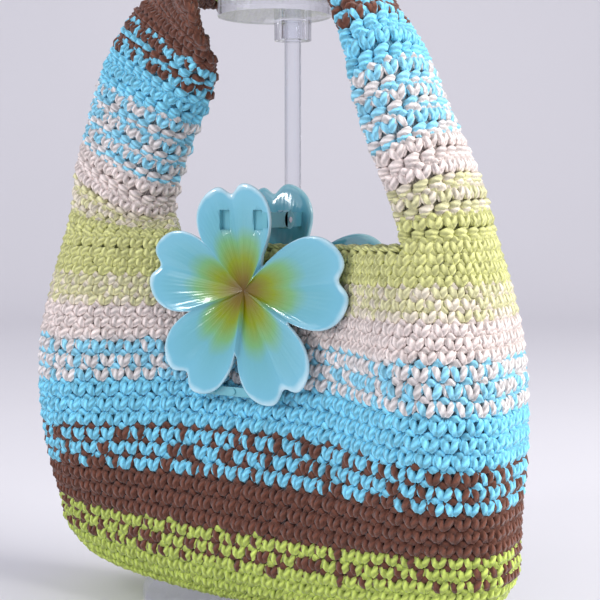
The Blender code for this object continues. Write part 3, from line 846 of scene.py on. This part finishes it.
def lay(wall, name, stitch, across, up, width, height, yarns, inward=0.0, twist=TWIST_CHANCE):
    """Bends one kind of stitch over a wall at many places and sweeps all its strands.

    across and up are the stitches' middles, width and height their sizes, all as shares of the wall.
    """
    count = len(across)
    width, height = (np.broadcast_to(size, count)[:, None] for size in (width, height))
    swap = draw.random(count) < twist
    legs = {sign: swap ^ (draw.random(count) < LEG_TWIST_CHANCE) for sign in (-1.0, 1.0)}
    paths, normals, radii, tints = [], [], [], []
    for table, thick, strand in stitch:
        leg = legs[1.0 if table[:, 0].mean() > 0.0 else -1.0]
        shift = draw.normal(0.0, WOBBLE, (count, 2))
        a = across[:, None] + (table[None, :, 0] + shift[:, :1]) * width
        b = up[:, None] + (table[None, :, 1] + shift[:, 1:]) * height
        points, out = wall.at(a, b)
        depth = table[None, :, 2:3]
        if inward:
            out = -out
            depth = depth + inward
        paths.append(points + out * depth)
        normals.append(out)
        wide = STRAND_RADIUS * thick * (1.0 + draw.normal(0.0, THICKNESS_WOBBLE, (count, 1)))
        radii.append(wide * np.array(SWELL)[None])
        tint = np.where((strand + leg)[:, None] % 2 == 0, yarns[0], yarns[1])
        tints.append(tint * (1.0 + draw.normal(0.0, TINT_WOBBLE, (count, 1))))
    paths, normals, radii, tints = (np.concatenate(v) for v in (paths, normals, radii, tints))
    return sweep_strands(name, paths, normals, radii, np.clip(tints, 0.0, 1.0))


print("a stitch is", round(round_length / STITCHES_ROUND * 1000, 1), "mm wide at the rim")

# %% [markdown]
# ## The body's rows
# The bag is worked in a spiral, so each row starts a little further round than the one below. Its 27 rows make
# three pieces here, to keep each one light enough to handle.

# %% Body rows
def body_piece(name, first, last):
    """The stitches of some rows of the body, all round."""
    rows = np.arange(first, last).repeat(STITCHES_ROUND)
    places = np.tile(np.arange(STITCHES_ROUND), last - first)
    across = (places + 0.5 + DRIFT * rows) / STITCHES_ROUND
    below, above = np.array([row[:2] for row in body_rows])[rows].T
    pairs = np.array([held_together(*row[2:]) for row in body_rows])[rows]
    yarns = (pairs[:, 0], pairs[:, 1])
    piece = lay(body, name, FRONT_STITCH, across, 0.5 * (below + above),
                1.0 / STITCHES_ROUND, above - below, yarns)
    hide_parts("bag_body")
    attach(piece, "bag_and_stand")


body_piece("rows_lime_and_brown", 0, 9)
body_piece("rows_blue", 9, 18)
body_piece("rows_white_and_pale", 18, len(body_rows))

# %% [markdown]
# ## The straps' stitches
# Each strap is about fourteen stitches wide. Its outer face shows front rows and back rows by turns, its inner
# face the same with fronts and backs exchanged; there the plain stitch with fewer strands is enough. Every turn
# pulls the row a little to one side.

# %% Strap rows
STRAP_STITCHES = 14
STRAP_TWIST = 0.45
ROW_SHIFT = {"front": 0.2, "back": -0.2}
STRAP_ROW = 0.0044


def row_count(wall):
    return int(round(wall.length / STRAP_ROW))


def strap_rows(wall, side_name, face, kind, stitch):
    """Every second row on one face of a strap."""
    count = row_count(wall)
    picked = np.arange(count)[int(kind == "back")::2]
    row = np.repeat(picked, STRAP_STITCHES)
    k = np.tile(np.arange(STRAP_STITCHES), len(picked))
    pairs = np.array([held_together(*strap_pair(r)) for r in row])
    piece = lay(wall, f"strap_{side_name}_{face}_{kind}_rows", stitch,
                (k + 0.5 + ROW_SHIFT[kind]) / STRAP_STITCHES, (row + 0.5) / count,
                1.0 / STRAP_STITCHES, 1.0 / count, (pairs[:, 0], pairs[:, 1]),
                FABRIC if face == "inner" else 0.0, STRAP_TWIST)
    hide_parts(f"strap_{side_name}")
    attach(piece, "bag_and_stand")


straps = {"right": right_strap, "left": left_strap}
print("rows:", {side_name: row_count(wall) for side_name, wall in straps.items()})

# %% [markdown]
# ## The straps' edges
# At the end of a row the work is turned, and the yarn bends round the edge of the cloth. Without these bends the
# ends of the rows would show. Each row has two at each side, one of each yarn. Then both straps are laid.

# %% Strap edges
EDGE_THICKNESS = 1.15
EDGE_LIFTS = ((0.26, 0), (0.74, 1))
# sideways and outward, in mm
EDGE_WRAP = np.array([(-1.7, -0.2), (-0.3, -0.3), (0.5, -2.0), (-0.3, -3.7), (-1.7, -3.8)]) * MM


def edge_bend(wall, edge, toward, up):
    """One bend of yarn round an edge of a strap, and its normals."""
    up = np.array([up])
    point, out = wall.at(np.array([edge]), up)
    sideways = point - wall.at(np.array([edge - toward / STRAP_STITCHES]), up)[0]
    sideways /= np.linalg.norm(sideways)
    normals = np.tile(np.cross(sideways, out), (len(EDGE_WRAP), 1))
    return point + EDGE_WRAP @ np.concatenate([sideways, out]), normals


def strap_edges(wall, side_name):
    """The bends at both ends of every row."""
    count = row_count(wall)
    bends, tints = [], []
    for r in range(count):
        for edge, toward in ((0.0, -1.0), (1.0, 1.0)):
            for lift, strand in EDGE_LIFTS:
                bends.append(edge_bend(wall, edge, toward, (r + lift) / count))
                tints.append(held_together(*strap_pair(r))[strand])
    paths, normals = (np.array(v) for v in zip(*bends))
    radius = EDGE_THICKNESS * STRAND_RADIUS * np.tile(SWELL, (len(bends), 1))
    piece = sweep_strands(f"strap_{side_name}_edges", paths, normals, radius, np.array(tints))
    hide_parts(f"strap_{side_name}")
    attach(piece, "bag_and_stand")


for side_name, wall in straps.items():
    strap_rows(wall, side_name, "outer", "front", FRONT_STITCH)
    strap_rows(wall, side_name, "outer", "back", BACK_STITCH)
    strap_rows(wall, side_name, "inner", "front", PLAIN_STITCH)
    strap_rows(wall, side_name, "inner", "back", PLAIN_STITCH)
    strap_edges(wall, side_name)
print("straps:", row_count(right_strap), "and", row_count(left_strap), "rows of", STRAP_STITCHES)

# %% [markdown]
# ## The cloth behind the stitches
# Light must not shine through between the strands, so a thin closed wall lies in the middle of the fabric. A
# solidify modifier could thicken it, but here both faces are read from the same form, which keeps it inside the
# yarn everywhere. It has the row's colour, darker: painted shade where it shows between the strands. It is built
# in loops that run up the outside and down the inside.

# %% Backing walls
BACKING_OUT = 0.0011
BACKING_IN = 0.0030


def backing(name, wall, steps_up, steps_across, colour_at):
    """A closed sheet between two depths of a wall, coloured by height."""
    ups = np.linspace(0.0, 1.0, steps_up)
    points, normal = wall.at(*np.meshgrid(np.linspace(0.0, 1.0, steps_across, endpoint=not wall.closed), ups))
    verts = np.concatenate([(points - normal * depth).reshape(-1, 3) for depth in (BACKING_OUT, BACKING_IN)])
    rows = np.concatenate([np.arange(steps_up), np.arange(2 * steps_up - 1, steps_up - 1, -1)]) * steps_across
    faces = []
    for j in range(steps_across if wall.closed else steps_across - 1):
        here, there = rows + j, rows + (j + 1) % steps_across
        faces += zip(here, there, np.roll(there, -1), np.roll(here, -1))
    if not wall.closed:
        for m in range(steps_up - 1):
            first = rows[[m, m + 1, -2 - m, -1 - m]]
            faces += [tuple(first), tuple(first[::-1] + steps_across - 1)]
    mesh = bpy.data.meshes.new(name)
    mesh.from_pydata(verts.tolist(), [], [[int(corner) for corner in face] for face in faces])
    mesh.shade_smooth()
    tint = np.array([(*colour_at(u), 1.0) for u in ups])
    tint = np.tile(np.repeat(tint, steps_across, axis=0), (2, 1))
    layer = mesh.attributes.new("yarn", "FLOAT_COLOR", "POINT")
    layer.data.foreach_set("color", tint.ravel().astype(np.float32))
    mesh.uv_layers.new(name="ply")
    # the darker lining material is painted shade between the strands
    mesh.materials.append(lining)
    print(name, "faces:", len(faces))
    return put(name, mesh)


def between(first, second):
    return 0.5 * (np.array(COLOURS[first]) + np.array(COLOURS[second]))


def body_colour(up):
    return next((between(*pair) for _, above, *pair in body_rows if up <= above), COLOURS["pale"])


inside = backing("body_lining", body, 60, 180, body_colour)
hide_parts("bag_body")
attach(inside, "bag_and_stand")
for side_name, wall in straps.items():
    length = wall.length
    layer = backing(f"strap_{side_name}_lining", wall, 60, 25,
                    lambda up: between(*strap_pair(int(up * length / STRAP_ROW))))
    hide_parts(f"strap_{side_name}")
    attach(layer, "bag_and_stand")

# %% [markdown]
# ## The bottom
# The bag starts as a few rows worked along its middle. Seen from below it is a narrow oval of lime stitches. The
# same stitch is laid on a flat wall here, because the bottom curves up only a little at its ends.

# %% Bottom
BOTTOM_ROW = 0.0054
BOTTOM_STITCH = 0.0056
BOTTOM_MARGIN = 1.05
BOTTOM_REACH = 1.25
_, floor_width, floor_depth, floor_square, floor_lift, _, floor_sway = smooth_rows(LEVELS, 0.0)
half_long, half_wide = floor_width * BAG_WIDTH, floor_depth * BAG_DEPTH


def bottom_point(x, y):
    z = floor_lift * RIM_HEIGHT * (x / half_long) ** 2
    return np.array([x + floor_sway * BAG_WIDTH, y, z]) + BAG_PLACE


bottom_y = np.linspace(half_wide, -half_wide, 9) * BOTTOM_MARGIN
bottom_x = np.linspace(-half_long, half_long, 81)
bottom = Wall([[bottom_point(x, y) for x in bottom_x] for y in bottom_y], False)
places = []
for y in (-BOTTOM_ROW, 0.0, BOTTOM_ROW):
    narrow = (abs(y) / (half_wide * BOTTOM_REACH)) ** floor_square
    count = int(2.0 * half_long * max(0.0, 1.0 - narrow) ** (1.0 / floor_square) / BOTTOM_STITCH)
    places += [((k + 0.5 - 0.5 * count) * BOTTOM_STITCH, y) for k in range(count)]
along, beside = np.array(places).T
lime = np.tile(COLOURS["lime"], (len(places), 1))
base_piece = lay(bottom, "bottom_stitches", FRONT_STITCH,
                 0.5 + 0.5 * along / half_long, 0.5 + 0.5 * beside / (half_wide * BOTTOM_MARGIN),
                 0.5 * BOTTOM_STITCH / half_long, 0.5 * BOTTOM_ROW / half_wide / BOTTOM_MARGIN, (lime, lime))
base_lining = backing("bottom_lining", bottom, 9, 41, lambda up: COLOURS["lime"])
for piece in (base_piece, base_lining):
    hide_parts("bag_base")
    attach(piece, "bag_and_stand")

# %% [markdown]
# ## The chain on the rim
# The free edge is finished with slip stitches, which look like a plait lying on the rim. Each link is two bends
# that part and meet again inside the next link.

# %% Rim chain
CHAIN_LINK = 0.0050
CHAIN_THICKNESS = 0.9
CHAIN_SPREAD = 0.32
CHAIN_LIFT = 0.0013
CHAIN_FINE = 400
# along in links, sideways and up in mm
LINK = np.array([(-0.45, 0.15, -0.6), (-0.15, 0.75, 0.3), (0.20, 1.10, 0.65), (0.60, 0.80, 0.5),
                 (0.95, 0.25, -0.2)])
STRAIGHT_UP = np.array([0.0, 0.0, 1.0])


def rim_chain(name, first, last):
    """Links along the rim between two places, given in points of the round."""
    top, out = body.at(np.linspace(first / RING_POINTS, last / RING_POINTS, CHAIN_FINE), np.ones(CHAIN_FINE))
    path = top - out * 0.5 * FABRIC + CHAIN_LIFT * STRAIGHT_UP
    run = run_of(np.linalg.norm(np.diff(path, axis=0), axis=1))
    links = int(run[-1] / CHAIN_LINK)
    paths = []
    for flip in (-1.0, 1.0):
        for strand in (-CHAIN_SPREAD, CHAIN_SPREAD):
            for k in range(links):
                at = np.clip((k + 0.5 + LINK[:, 0]) * run[-1] / links, 0.0, run[-1])
                beside = flip * (LINK[:, 1:2] + strand) * MM
                paths.append(found_at(path, run, at) + found_at(out, run, at) * beside
                             + LINK[:, 2:3] * MM * STRAIGHT_UP)
    count = len(paths)
    normals = np.tile(STRAIGHT_UP, (count, len(LINK), 1))
    radius = CHAIN_THICKNESS * STRAND_RADIUS * np.tile(SWELL, (count, 1))
    tint = np.tile(COLOURS["pale"], (count, 1)) * (1.0 + draw.normal(0.0, TINT_WOBBLE, (count, 1)))
    piece = sweep_strands(name, np.array(paths), normals, radius, np.clip(tint, 0.0, 1.0))
    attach(piece, "bag_and_stand")
    return piece


strap_half = HALF_STRAP + 0.4
left_middle = RING_POINTS // 2 + LEFT_SHIFT
back_chain = rim_chain("chain_back", RIGHT_SHIFT + strap_half, left_middle - strap_half)
front_chain = rim_chain("chain_front", left_middle + strap_half, RING_POINTS + RIGHT_SHIFT - strap_half)
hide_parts("rim_edging_back")
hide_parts("rim_edging_front")

# %% [markdown]
# ## The claw clip
# The clip is moulded in translucent blue plastic as two cupped flowers, with a yellow heart where the dye fades.
# The fixed model has its outline, but a moulded petal also has rounded edges, fine ribs that run out from the
# heart, and one edge that lies over its neighbour. So the shell is built again on a finer net, from the same
# outline, as one closed skin. Ears, jaw and teeth are then joined to it.

# %% Clip sizes and outline
CLIP_REACH = 0.043
CLIP_SHELL = 0.0022
CLIP_CUP = 0.006
CLIP_FORWARD = 0.0135
HINGE_PLACE = np.array([0.0045, -0.0284, 0.1503])
HINGE_RISE = 0.0258
HUB_SHARE = 0.27
PETAL_ROUND = 2.6
PETAL_NOTCH = 0.10
NOTCH_ANGLE = 5.0
PETAL_LAP = 0.0017
PETAL_VALLEY = 0.0030
PETAL_RIM = 0.0007
PETAL_NET = 270
SHELL_SHARES = [0.04, 0.10, 0.18, 0.27, 0.36, 0.45, 0.54, 0.63, 0.72, 0.80, 0.87, 0.92, 0.955, 0.98, 0.994]
EDGE_FROM = 0.93
PETALS = [
    # angle reach half
    (7.0,   1.07, 37.0),
    (97.0,  0.92, 41.0),
    (167.0, 0.97, 37.0),
    (232.0, 1.03, 35.0),
    (298.0, 1.02, 36.0),
]


def petal_outline(angle):
    """The flower's radius at an angle in degrees, and where that lies across its petal, from -1 to 1."""
    best, across = HUB_SHARE * CLIP_REACH, 0.0
    for middle, reach, half in PETALS:
        away = (angle - middle + 180.0) % 360.0 - 180.0
        if abs(away) >= half:
            continue
        round_off = (1.0 - (abs(away) / half) ** PETAL_ROUND) ** (1.0 / PETAL_ROUND)
        radius = reach * CLIP_REACH * round_off * (1.0 - PETAL_NOTCH * math.exp(-((away / NOTCH_ANGLE) ** 2)))
        if radius > best:
            best, across = radius, away / half
    return best, across


def cupped(radius):
    return CLIP_FORWARD + CLIP_CUP * (radius / CLIP_REACH) ** 1.5


def add_box(form, low, high):
    """A box between two opposite corners, in either order."""
    made = bmesh.ops.create_cube(form, size=1.0)["verts"]
    bmesh.ops.scale(form, vec=[abs(b - a) for a, b in zip(low, high)], verts=made)
    bmesh.ops.translate(form, vec=[0.5 * (a + b) for a, b in zip(low, high)], verts=made)


def add_cone(form, foot, tip, foot_radius, tip_radius, sides):
    foot, tip = Vector(foot), Vector(tip)
    made = bmesh.ops.create_cone(form, cap_ends=True, segments=sides, radius1=foot_radius, radius2=tip_radius,
                                 depth=(tip - foot).length)["verts"]
    turn = Vector((0.0, 0.0, 1.0)).rotation_difference((tip - foot).normalized()).to_matrix().to_4x4()
    bmesh.ops.transform(form, matrix=Matrix.Translation(0.5 * (foot + tip)) @ turn, verts=made)


print("petals:", len(PETALS))

# %% [markdown]
# ## The relief of a petal
# A petal isn't flat. One edge lies over its neighbour, its middle is a shallow valley, and its rim is raised. Each
# is a simple rule of two shares: how far out from the heart, and how far across the petal.

# %% Petal relief
LAP_OPENS = 2.5
LAP_FADES = 0.6
SIDE_RIM = 9
TIP_RIM = 14


def petal_relief(share, across):
    open_share = min(1.0, LAP_OPENS * share)
    lap = PETAL_LAP * across * open_share * (1.0 - LAP_FADES * share)
    lap -= PETAL_VALLEY * (1.0 - across * across) * share * share
    return lap + PETAL_RIM * (abs(across) ** SIDE_RIM * open_share + share ** TIP_RIM)


print("deepest point of a petal:", round(petal_relief(0.85, 0.0) * 1000, 1), "mm")

# %% [markdown]
# ## The flower's shell
# The shell is one closed skin. Rings of points run out from the heart over the outer face, round the edge, and
# back along the inner face. Its map holds the two shares that the plastic's colour and ribs need: how far out,
# and at which angle.

# %% The flower's shell
def flower_mesh(name, side):
    """The cupped shell; side is -1 in front of the bag and +1 behind it. Its map is share and angle."""
    form = bmesh.new()
    layer = form.loops.layers.uv.new("petal")
    angles = [PETALS[0][0] + 360.0 * k / PETAL_NET for k in range(PETAL_NET)]
    outline = [petal_outline(angle) for angle in angles]

    def vert(k, share, face):
        radius, across = outline[k]
        edge = max(0.0, (share - EDGE_FROM) / (1.0 - EDGE_FROM))
        half = 0.5 * CLIP_SHELL * math.sqrt(max(0.0, 1.0 - edge * edge))
        middle = cupped(share * radius) - 0.5 * CLIP_SHELL + petal_relief(share, across)
        turn = math.radians(angles[k])
        x, z = share * radius * math.cos(turn), share * radius * math.sin(turn)
        return form.verts.new((x, side * (middle + face * half), z))

    hub_depths = (cupped(0.0), cupped(0.0) - CLIP_SHELL)
    hubs = [form.verts.new((0.0, side * depth, 0.0)) for depth in hub_depths]
    outer = [[vert(k, share, 1.0) for k in range(PETAL_NET)] for share in SHELL_SHARES]
    rim = [vert(k, 1.0, 0.0) for k in range(PETAL_NET)]
    inner = [[vert(k, share, -1.0) for k in range(PETAL_NET)] for share in SHELL_SHARES]
    rings = outer + [rim] + inner[::-1]
    shares = SHELL_SHARES + [1.0] + SHELL_SHARES[::-1]

    def face(corners, maps):
        if side > 0:
            corners, maps = corners[::-1], maps[::-1]
        made = form.faces.new(corners)
        made.smooth = True
        for loop, place in zip(made.loops, maps):
            loop[layer].uv = place

    for k in range(PETAL_NET):
        n = (k + 1) % PETAL_NET
        a, b = angles[k] / 360.0, (angles[k] + 360.0 / PETAL_NET) / 360.0
        face([hubs[0], rings[0][k], rings[0][n]], [(0.0, a), (shares[0], a), (shares[0], b)])
        face([hubs[1], rings[-1][n], rings[-1][k]], [(0.0, a), (shares[-1], b), (shares[-1], a)])
        for low_ring, high_ring, s, t in zip(rings[:-1], rings[1:], shares[:-1], shares[1:]):
            face([low_ring[k], high_ring[k], high_ring[n], low_ring[n]], [(s, a), (t, a), (t, b), (s, b)])
    mesh = bpy.data.meshes.new(name)
    form.to_mesh(mesh)
    form.free()
    return mesh


print("points round a petal shell:", PETAL_NET)

# %% [markdown]
# ## The petals' plastic
# Moulded plastic shines softly and lets some light in. The colour runs from an amber heart through green to blue,
# by the distance from the centre, and turns almost white at the very edge: a painted highlight on the rim. The
# half behind the bag gets the same plastic with darker colours, which is painted shade. The ribs are lines in the
# angle, and they fade toward the heart and the edge.

# %% Plastic
RIB_COUNT = 45
FINE_RIBS = 2.7
RIB_RELIEF = 0.0006
# the last stop, almost white, is a painted highlight along the petals' rim
FRONT_DYE_AND_RIM_HIGHLIGHT = [(0.0, linear(96, 68, 0)), (0.13, linear(122, 106, 0)), (0.30, linear(134, 152, 14)),
              (0.48, linear(120, 178, 118)), (0.64, linear(114, 184, 196)), (0.94, linear(122, 194, 216)),
              (1.0, linear(204, 238, 248))]
# the half behind the bag: the same plastic, darker as painted shade, with a painted highlight on its rim
BACK_DYE_PAINTED_SHADE_AND_RIM_HIGHLIGHT = [(0.0, linear(110, 112, 50)), (0.20, linear(96, 150, 146)), (0.45, linear(84, 152, 172)),
             (0.94, linear(100, 172, 192)), (1.0, linear(176, 222, 232))]


def petal_plastic(name, ramp):
    mat, shader, start = new_material(name, IOR=1.49, Transmission_Weight=0.10, Specular_IOR_Level=0.32,
                                      Coat_Weight=0.4, Coat_Roughness=0.02)
    share, angle = map_parts(start, "petal")
    cloud = noise(start, 90.0, 3.0)
    colour = start.node("ValToRGB", {"stops": ramp}, {"Fac": share + (cloud - 0.5) * 0.12}, "Color")
    link(colour, shader, "Base Color")
    round_share = angle * 2.0 * math.pi * RIB_COUNT
    ribs = (round_share + (cloud - 0.5) * 3.0).sine() * 0.4 + (round_share * FINE_RIBS + 1.0).sine() * 0.2
    relief(start, shader, ribs * share * (1.0 - share), 0.5, RIB_RELIEF)
    link(0.06 + cloud * 0.10, shader, "Roughness")
    return mat


front_plastic = petal_plastic("blue_plastic", FRONT_DYE_AND_RIM_HIGHLIGHT)
# the back half's darker plastic is painted shade
shaded_back_plastic = petal_plastic("blue_plastic_painted_shade", BACK_DYE_PAINTED_SHADE_AND_RIM_HIGHLIGHT)
print("plastics:", front_plastic.name, shaded_back_plastic.name)

# %% [markdown]
# ## Steel and clear acrylic
# The steel pin and spring are lightly scratched. The stand is clear acrylic with the faint marks of handling. Pure
# glass would go dark where it is thick, so it is mixed with plain see-through, more of it in the thick base.

# %% Steel and acrylic
def steel_material():
    mat, shader, start = new_material("steel", Base_Color=(0.62, 0.62, 0.64, 1.0), Metallic=1.0)
    scratch = noise(start, 900.0, 4.0)
    link(0.18 + scratch * 0.22, shader, "Roughness")
    relief(start, shader, scratch, 0.2, 0.0001)
    return mat


CLEAR_TINT = (0.96, 0.97, 1.0, 1.0)
SEE_THROUGH_TINT = (0.96, 0.97, 0.98, 1.0)


def acrylic_material(name, solid_share):
    """Clear plastic; solid_share is how much of it bends light."""
    mat, shader, start = new_material(name, Base_Color=CLEAR_TINT, IOR=1.46, Transmission_Weight=1.0)
    haze = noise(start, 60.0, 5.0)
    link(0.01 + haze * 0.06, shader, "Roughness")
    relief(start, shader, noise(start, 350.0, 3.0), 0.08, 0.0002)
    clear = start.node("BsdfTransparent", None, {"Color": SEE_THROUGH_TINT}, "BSDF")
    solid = Flow(start.tree, shader.outputs["BSDF"])
    mixed = start.node("MixShader", None, {0: solid_share + (haze - 0.5) * 0.1, 1: clear, 2: solid}, "Shader")
    start.tree.links.new(mixed.output, start.tree.nodes["Material Output"].inputs["Surface"])
    return mat


steel = steel_material()
acrylic = acrylic_material("acrylic", 0.85)
thick_acrylic = acrylic_material("thick_acrylic", 0.30)
print("hard materials:", steel.name, acrylic.name, thick_acrylic.name)

# %% [markdown]
# ## The slots beside the ears
# The mould leaves a slot on both sides of the ears. In the photograph no light comes through them, so they are
# cut only part way. A boolean does it, since their sides are straight; the cutter is thrown away afterwards.

# %% Slots
EAR_WIDTH = 0.0020
SLOT_WIDTH = 0.0040
SLOT_HEIGHT = 0.0072
SLOT_FLOOR = 1.2


def cut_slots(piece, side, ear_x):
    form = bmesh.new()
    slot_x = ear_x - 0.5 * (EAR_WIDTH + SLOT_WIDTH) - GAP
    slot_end = side * (cupped(math.hypot(slot_x, HINGE_RISE)) - SLOT_FLOOR * CLIP_SHELL)
    for sign in (-1.0, 1.0):
        add_box(form, (sign * slot_x - 0.5 * SLOT_WIDTH, slot_end, HINGE_RISE - 0.5 * SLOT_HEIGHT),
                (sign * slot_x + 0.5 * SLOT_WIDTH, side * 2.0 * CLIP_FORWARD, HINGE_RISE + 0.5 * SLOT_HEIGHT))
    cutter_mesh = bpy.data.meshes.new("slots")
    form.to_mesh(cutter_mesh)
    form.free()
    cutter = put("slots", cutter_mesh)
    cut = piece.modifiers.new("slots", "BOOLEAN")
    cut.operation = "DIFFERENCE"
    cut.solver = "EXACT"
    cut.object = cutter
    bpy.context.view_layer.update()
    mesh = bpy.data.meshes.new_from_object(piece.evaluated_get(bpy.context.evaluated_depsgraph_get()))
    piece.modifiers.clear()
    piece.data = mesh
    bpy.data.objects.remove(cutter)


print("slots go in", round(SLOT_FLOOR * CLIP_SHELL * 1000, 1), "mm from the front of the petal")

# %% [markdown]
# ## Ears, jaw and teeth
# Two ears take the hinge pin, a bar stiffens the jaw behind the lower petals, and four teeth hold the cloth. They
# are plain boxes and cones. How far a tooth reaches is measured on the body's wall, so it ends where cloth begins.

# %% Ears, jaw and teeth
EAR_RADIUS = 0.0034
PIN_ROOM = 0.0014
TOOTH_DROP = 0.0374
TOOTH_RADIUS = 0.0013
TOOTH_SPACING = 0.0085
TEETH = 4
JAW_HEIGHT = 0.0034
JAW_THICK = 0.0020
CLIP_CENTRE = HINGE_PLACE - np.array([0.0, 0.0, HINGE_RISE])
CLOTH_SAMPLES = 721
CLOTH_NEAR = 0.002


def cloth_depth(x, z, side):
    """How far the bag's wall lies from its middle plane, under a tooth."""
    ups = np.full(CLOTH_SAMPLES, (z - BAG_PLACE[2]) / RIM_HEIGHT)
    points, _ = body.at(np.linspace(0.0, 1.0, CLOTH_SAMPLES), ups)
    depth = side * (points[:, 1] - BAG_PLACE[1])
    return float(depth[(np.abs(points[:, 0] - x) < CLOTH_NEAR) & (depth > 0.0)].mean())


def add_fittings(form, side, ear_x):
    for x in (-ear_x, ear_x):
        left, right = x - 0.5 * EAR_WIDTH, x + 0.5 * EAR_WIDTH
        root = side * (cupped(math.hypot(x, HINGE_RISE)) - 0.5 * CLIP_SHELL)
        add_box(form, (left, side * PIN_ROOM, HINGE_RISE - 0.8 * EAR_RADIUS),
                (right, root, HINGE_RISE + 0.8 * EAR_RADIUS))
        add_cone(form, (left, 0.0, HINGE_RISE), (right, 0.0, HINGE_RISE), EAR_RADIUS, EAR_RADIUS, 32)
    jaw = cupped(TOOTH_DROP) - CLIP_SHELL
    reach = 0.5 * TOOTH_SPACING * TEETH
    add_box(form, (-reach, side * (jaw - JAW_THICK), -TOOTH_DROP - 0.5 * JAW_HEIGHT),
            (reach, side * (jaw - 0.5 * PETAL_VALLEY), -TOOTH_DROP + 0.5 * JAW_HEIGHT))
    for k in range(TEETH):
        x = (k - 0.5 * (TEETH - 1)) * TOOTH_SPACING
        tip = cloth_depth(CLIP_CENTRE[0] + x, CLIP_CENTRE[2] - TOOTH_DROP, side) + GAP
        add_cone(form, (x, side * (jaw - 0.5 * JAW_THICK), -TOOTH_DROP), (x, side * tip, -TOOTH_DROP),
                 TOOTH_RADIUS, 0.6 * TOOTH_RADIUS, 12)


print("teeth:", TEETH)

# %% [markdown]
# ## Put the clip together
# Each half is a shell with its slots and fittings. The fittings have no petal map, so all their faces get one
# place on it, where the plastic is a plain, somewhat deep blue, as painted shade for the jaw bar between the lower
# petals; so do the few faces in the heart.

# %% Clip halves
FRONT_EAR = 0.0104
BACK_EAR = 0.0080
# a deeper blue of the ramp: painted shade on the jaw bar between the petals
PLAIN_SHADED_SHARE = 0.66


def clip_half(name, side, ear_x, mat, body_name, node):
    piece = put(name, flower_mesh(name, side))
    cut_slots(piece, side, ear_x)
    form = bmesh.new()
    form.from_mesh(piece.data)
    moulded = set(form.faces)
    add_fittings(form, side, ear_x)
    layer = form.loops.layers.uv["petal"]
    for face in form.faces:
        if face not in moulded or max(loop[layer].uv[0] for loop in face.loops) < 0.5 * SHELL_SHARES[0]:
            for loop in face.loops:
                loop[layer].uv = (PLAIN_SHADED_SHARE, 0.0)
    bmesh.ops.translate(form, vec=CLIP_CENTRE, verts=form.verts)
    form.to_mesh(piece.data)
    form.free()
    piece.data.materials.clear()
    piece.data.materials.append(mat)
    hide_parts(node)
    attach(piece, body_name)
    print(name, "faces:", len(piece.data.polygons))


clip_half("petals_front", -1, FRONT_EAR, front_plastic, "clip_front_half", "clip_front")
clip_half("petals_back", 1, BACK_EAR, shaded_back_plastic, "bag_and_stand", "clip_back")

# %% [markdown]
# ## Pin, spring and stand
# These are plain turned and bent parts, and the fixed model already has their true shape. They only need a small
# round on their edges, where light catches, and their material.

# %% Carried-over parts
PIN_ROUND = 0.0002
STAND_ROUND = 0.0005
# piece of the fixed model, material, round on its edges
CARRIED_OVER = [
    ("clip_pin", steel, PIN_ROUND), ("clip_spring", steel, 0.0), ("stand_base", thick_acrylic, STAND_ROUND),
    ("stand_top", acrylic, STAND_ROUND), ("stand_post", acrylic, 0.0),
]
for node_name, mat, edge in CARRIED_OVER:
    node = frame["nodes"][node_name]
    node.data.materials.clear()
    node.data.materials.append(mat)
    if edge:
        rounding = node.modifiers.new("edge", "BEVEL")
        rounding.width = edge
        rounding.segments = 2
        rounding.limit_method = "ANGLE"
print("kept from the fixed model:", ", ".join(name for name, _, _ in CARRIED_OVER))

# %% [markdown]
# ## Measure and finish
# The visual model has to stay in the box of the fixed model, apart from the little that yarn stands proud. Both
# boxes are measured, and the last line prints how much the new one has grown.

# %% Sizes of the finished piece
new_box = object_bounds()
growth = [round((b - a) * 1000, 1) for a, b in zip(cad_box[1] - cad_box[0], new_box[1] - new_box[0])]
print("grown by", growth, "mm")
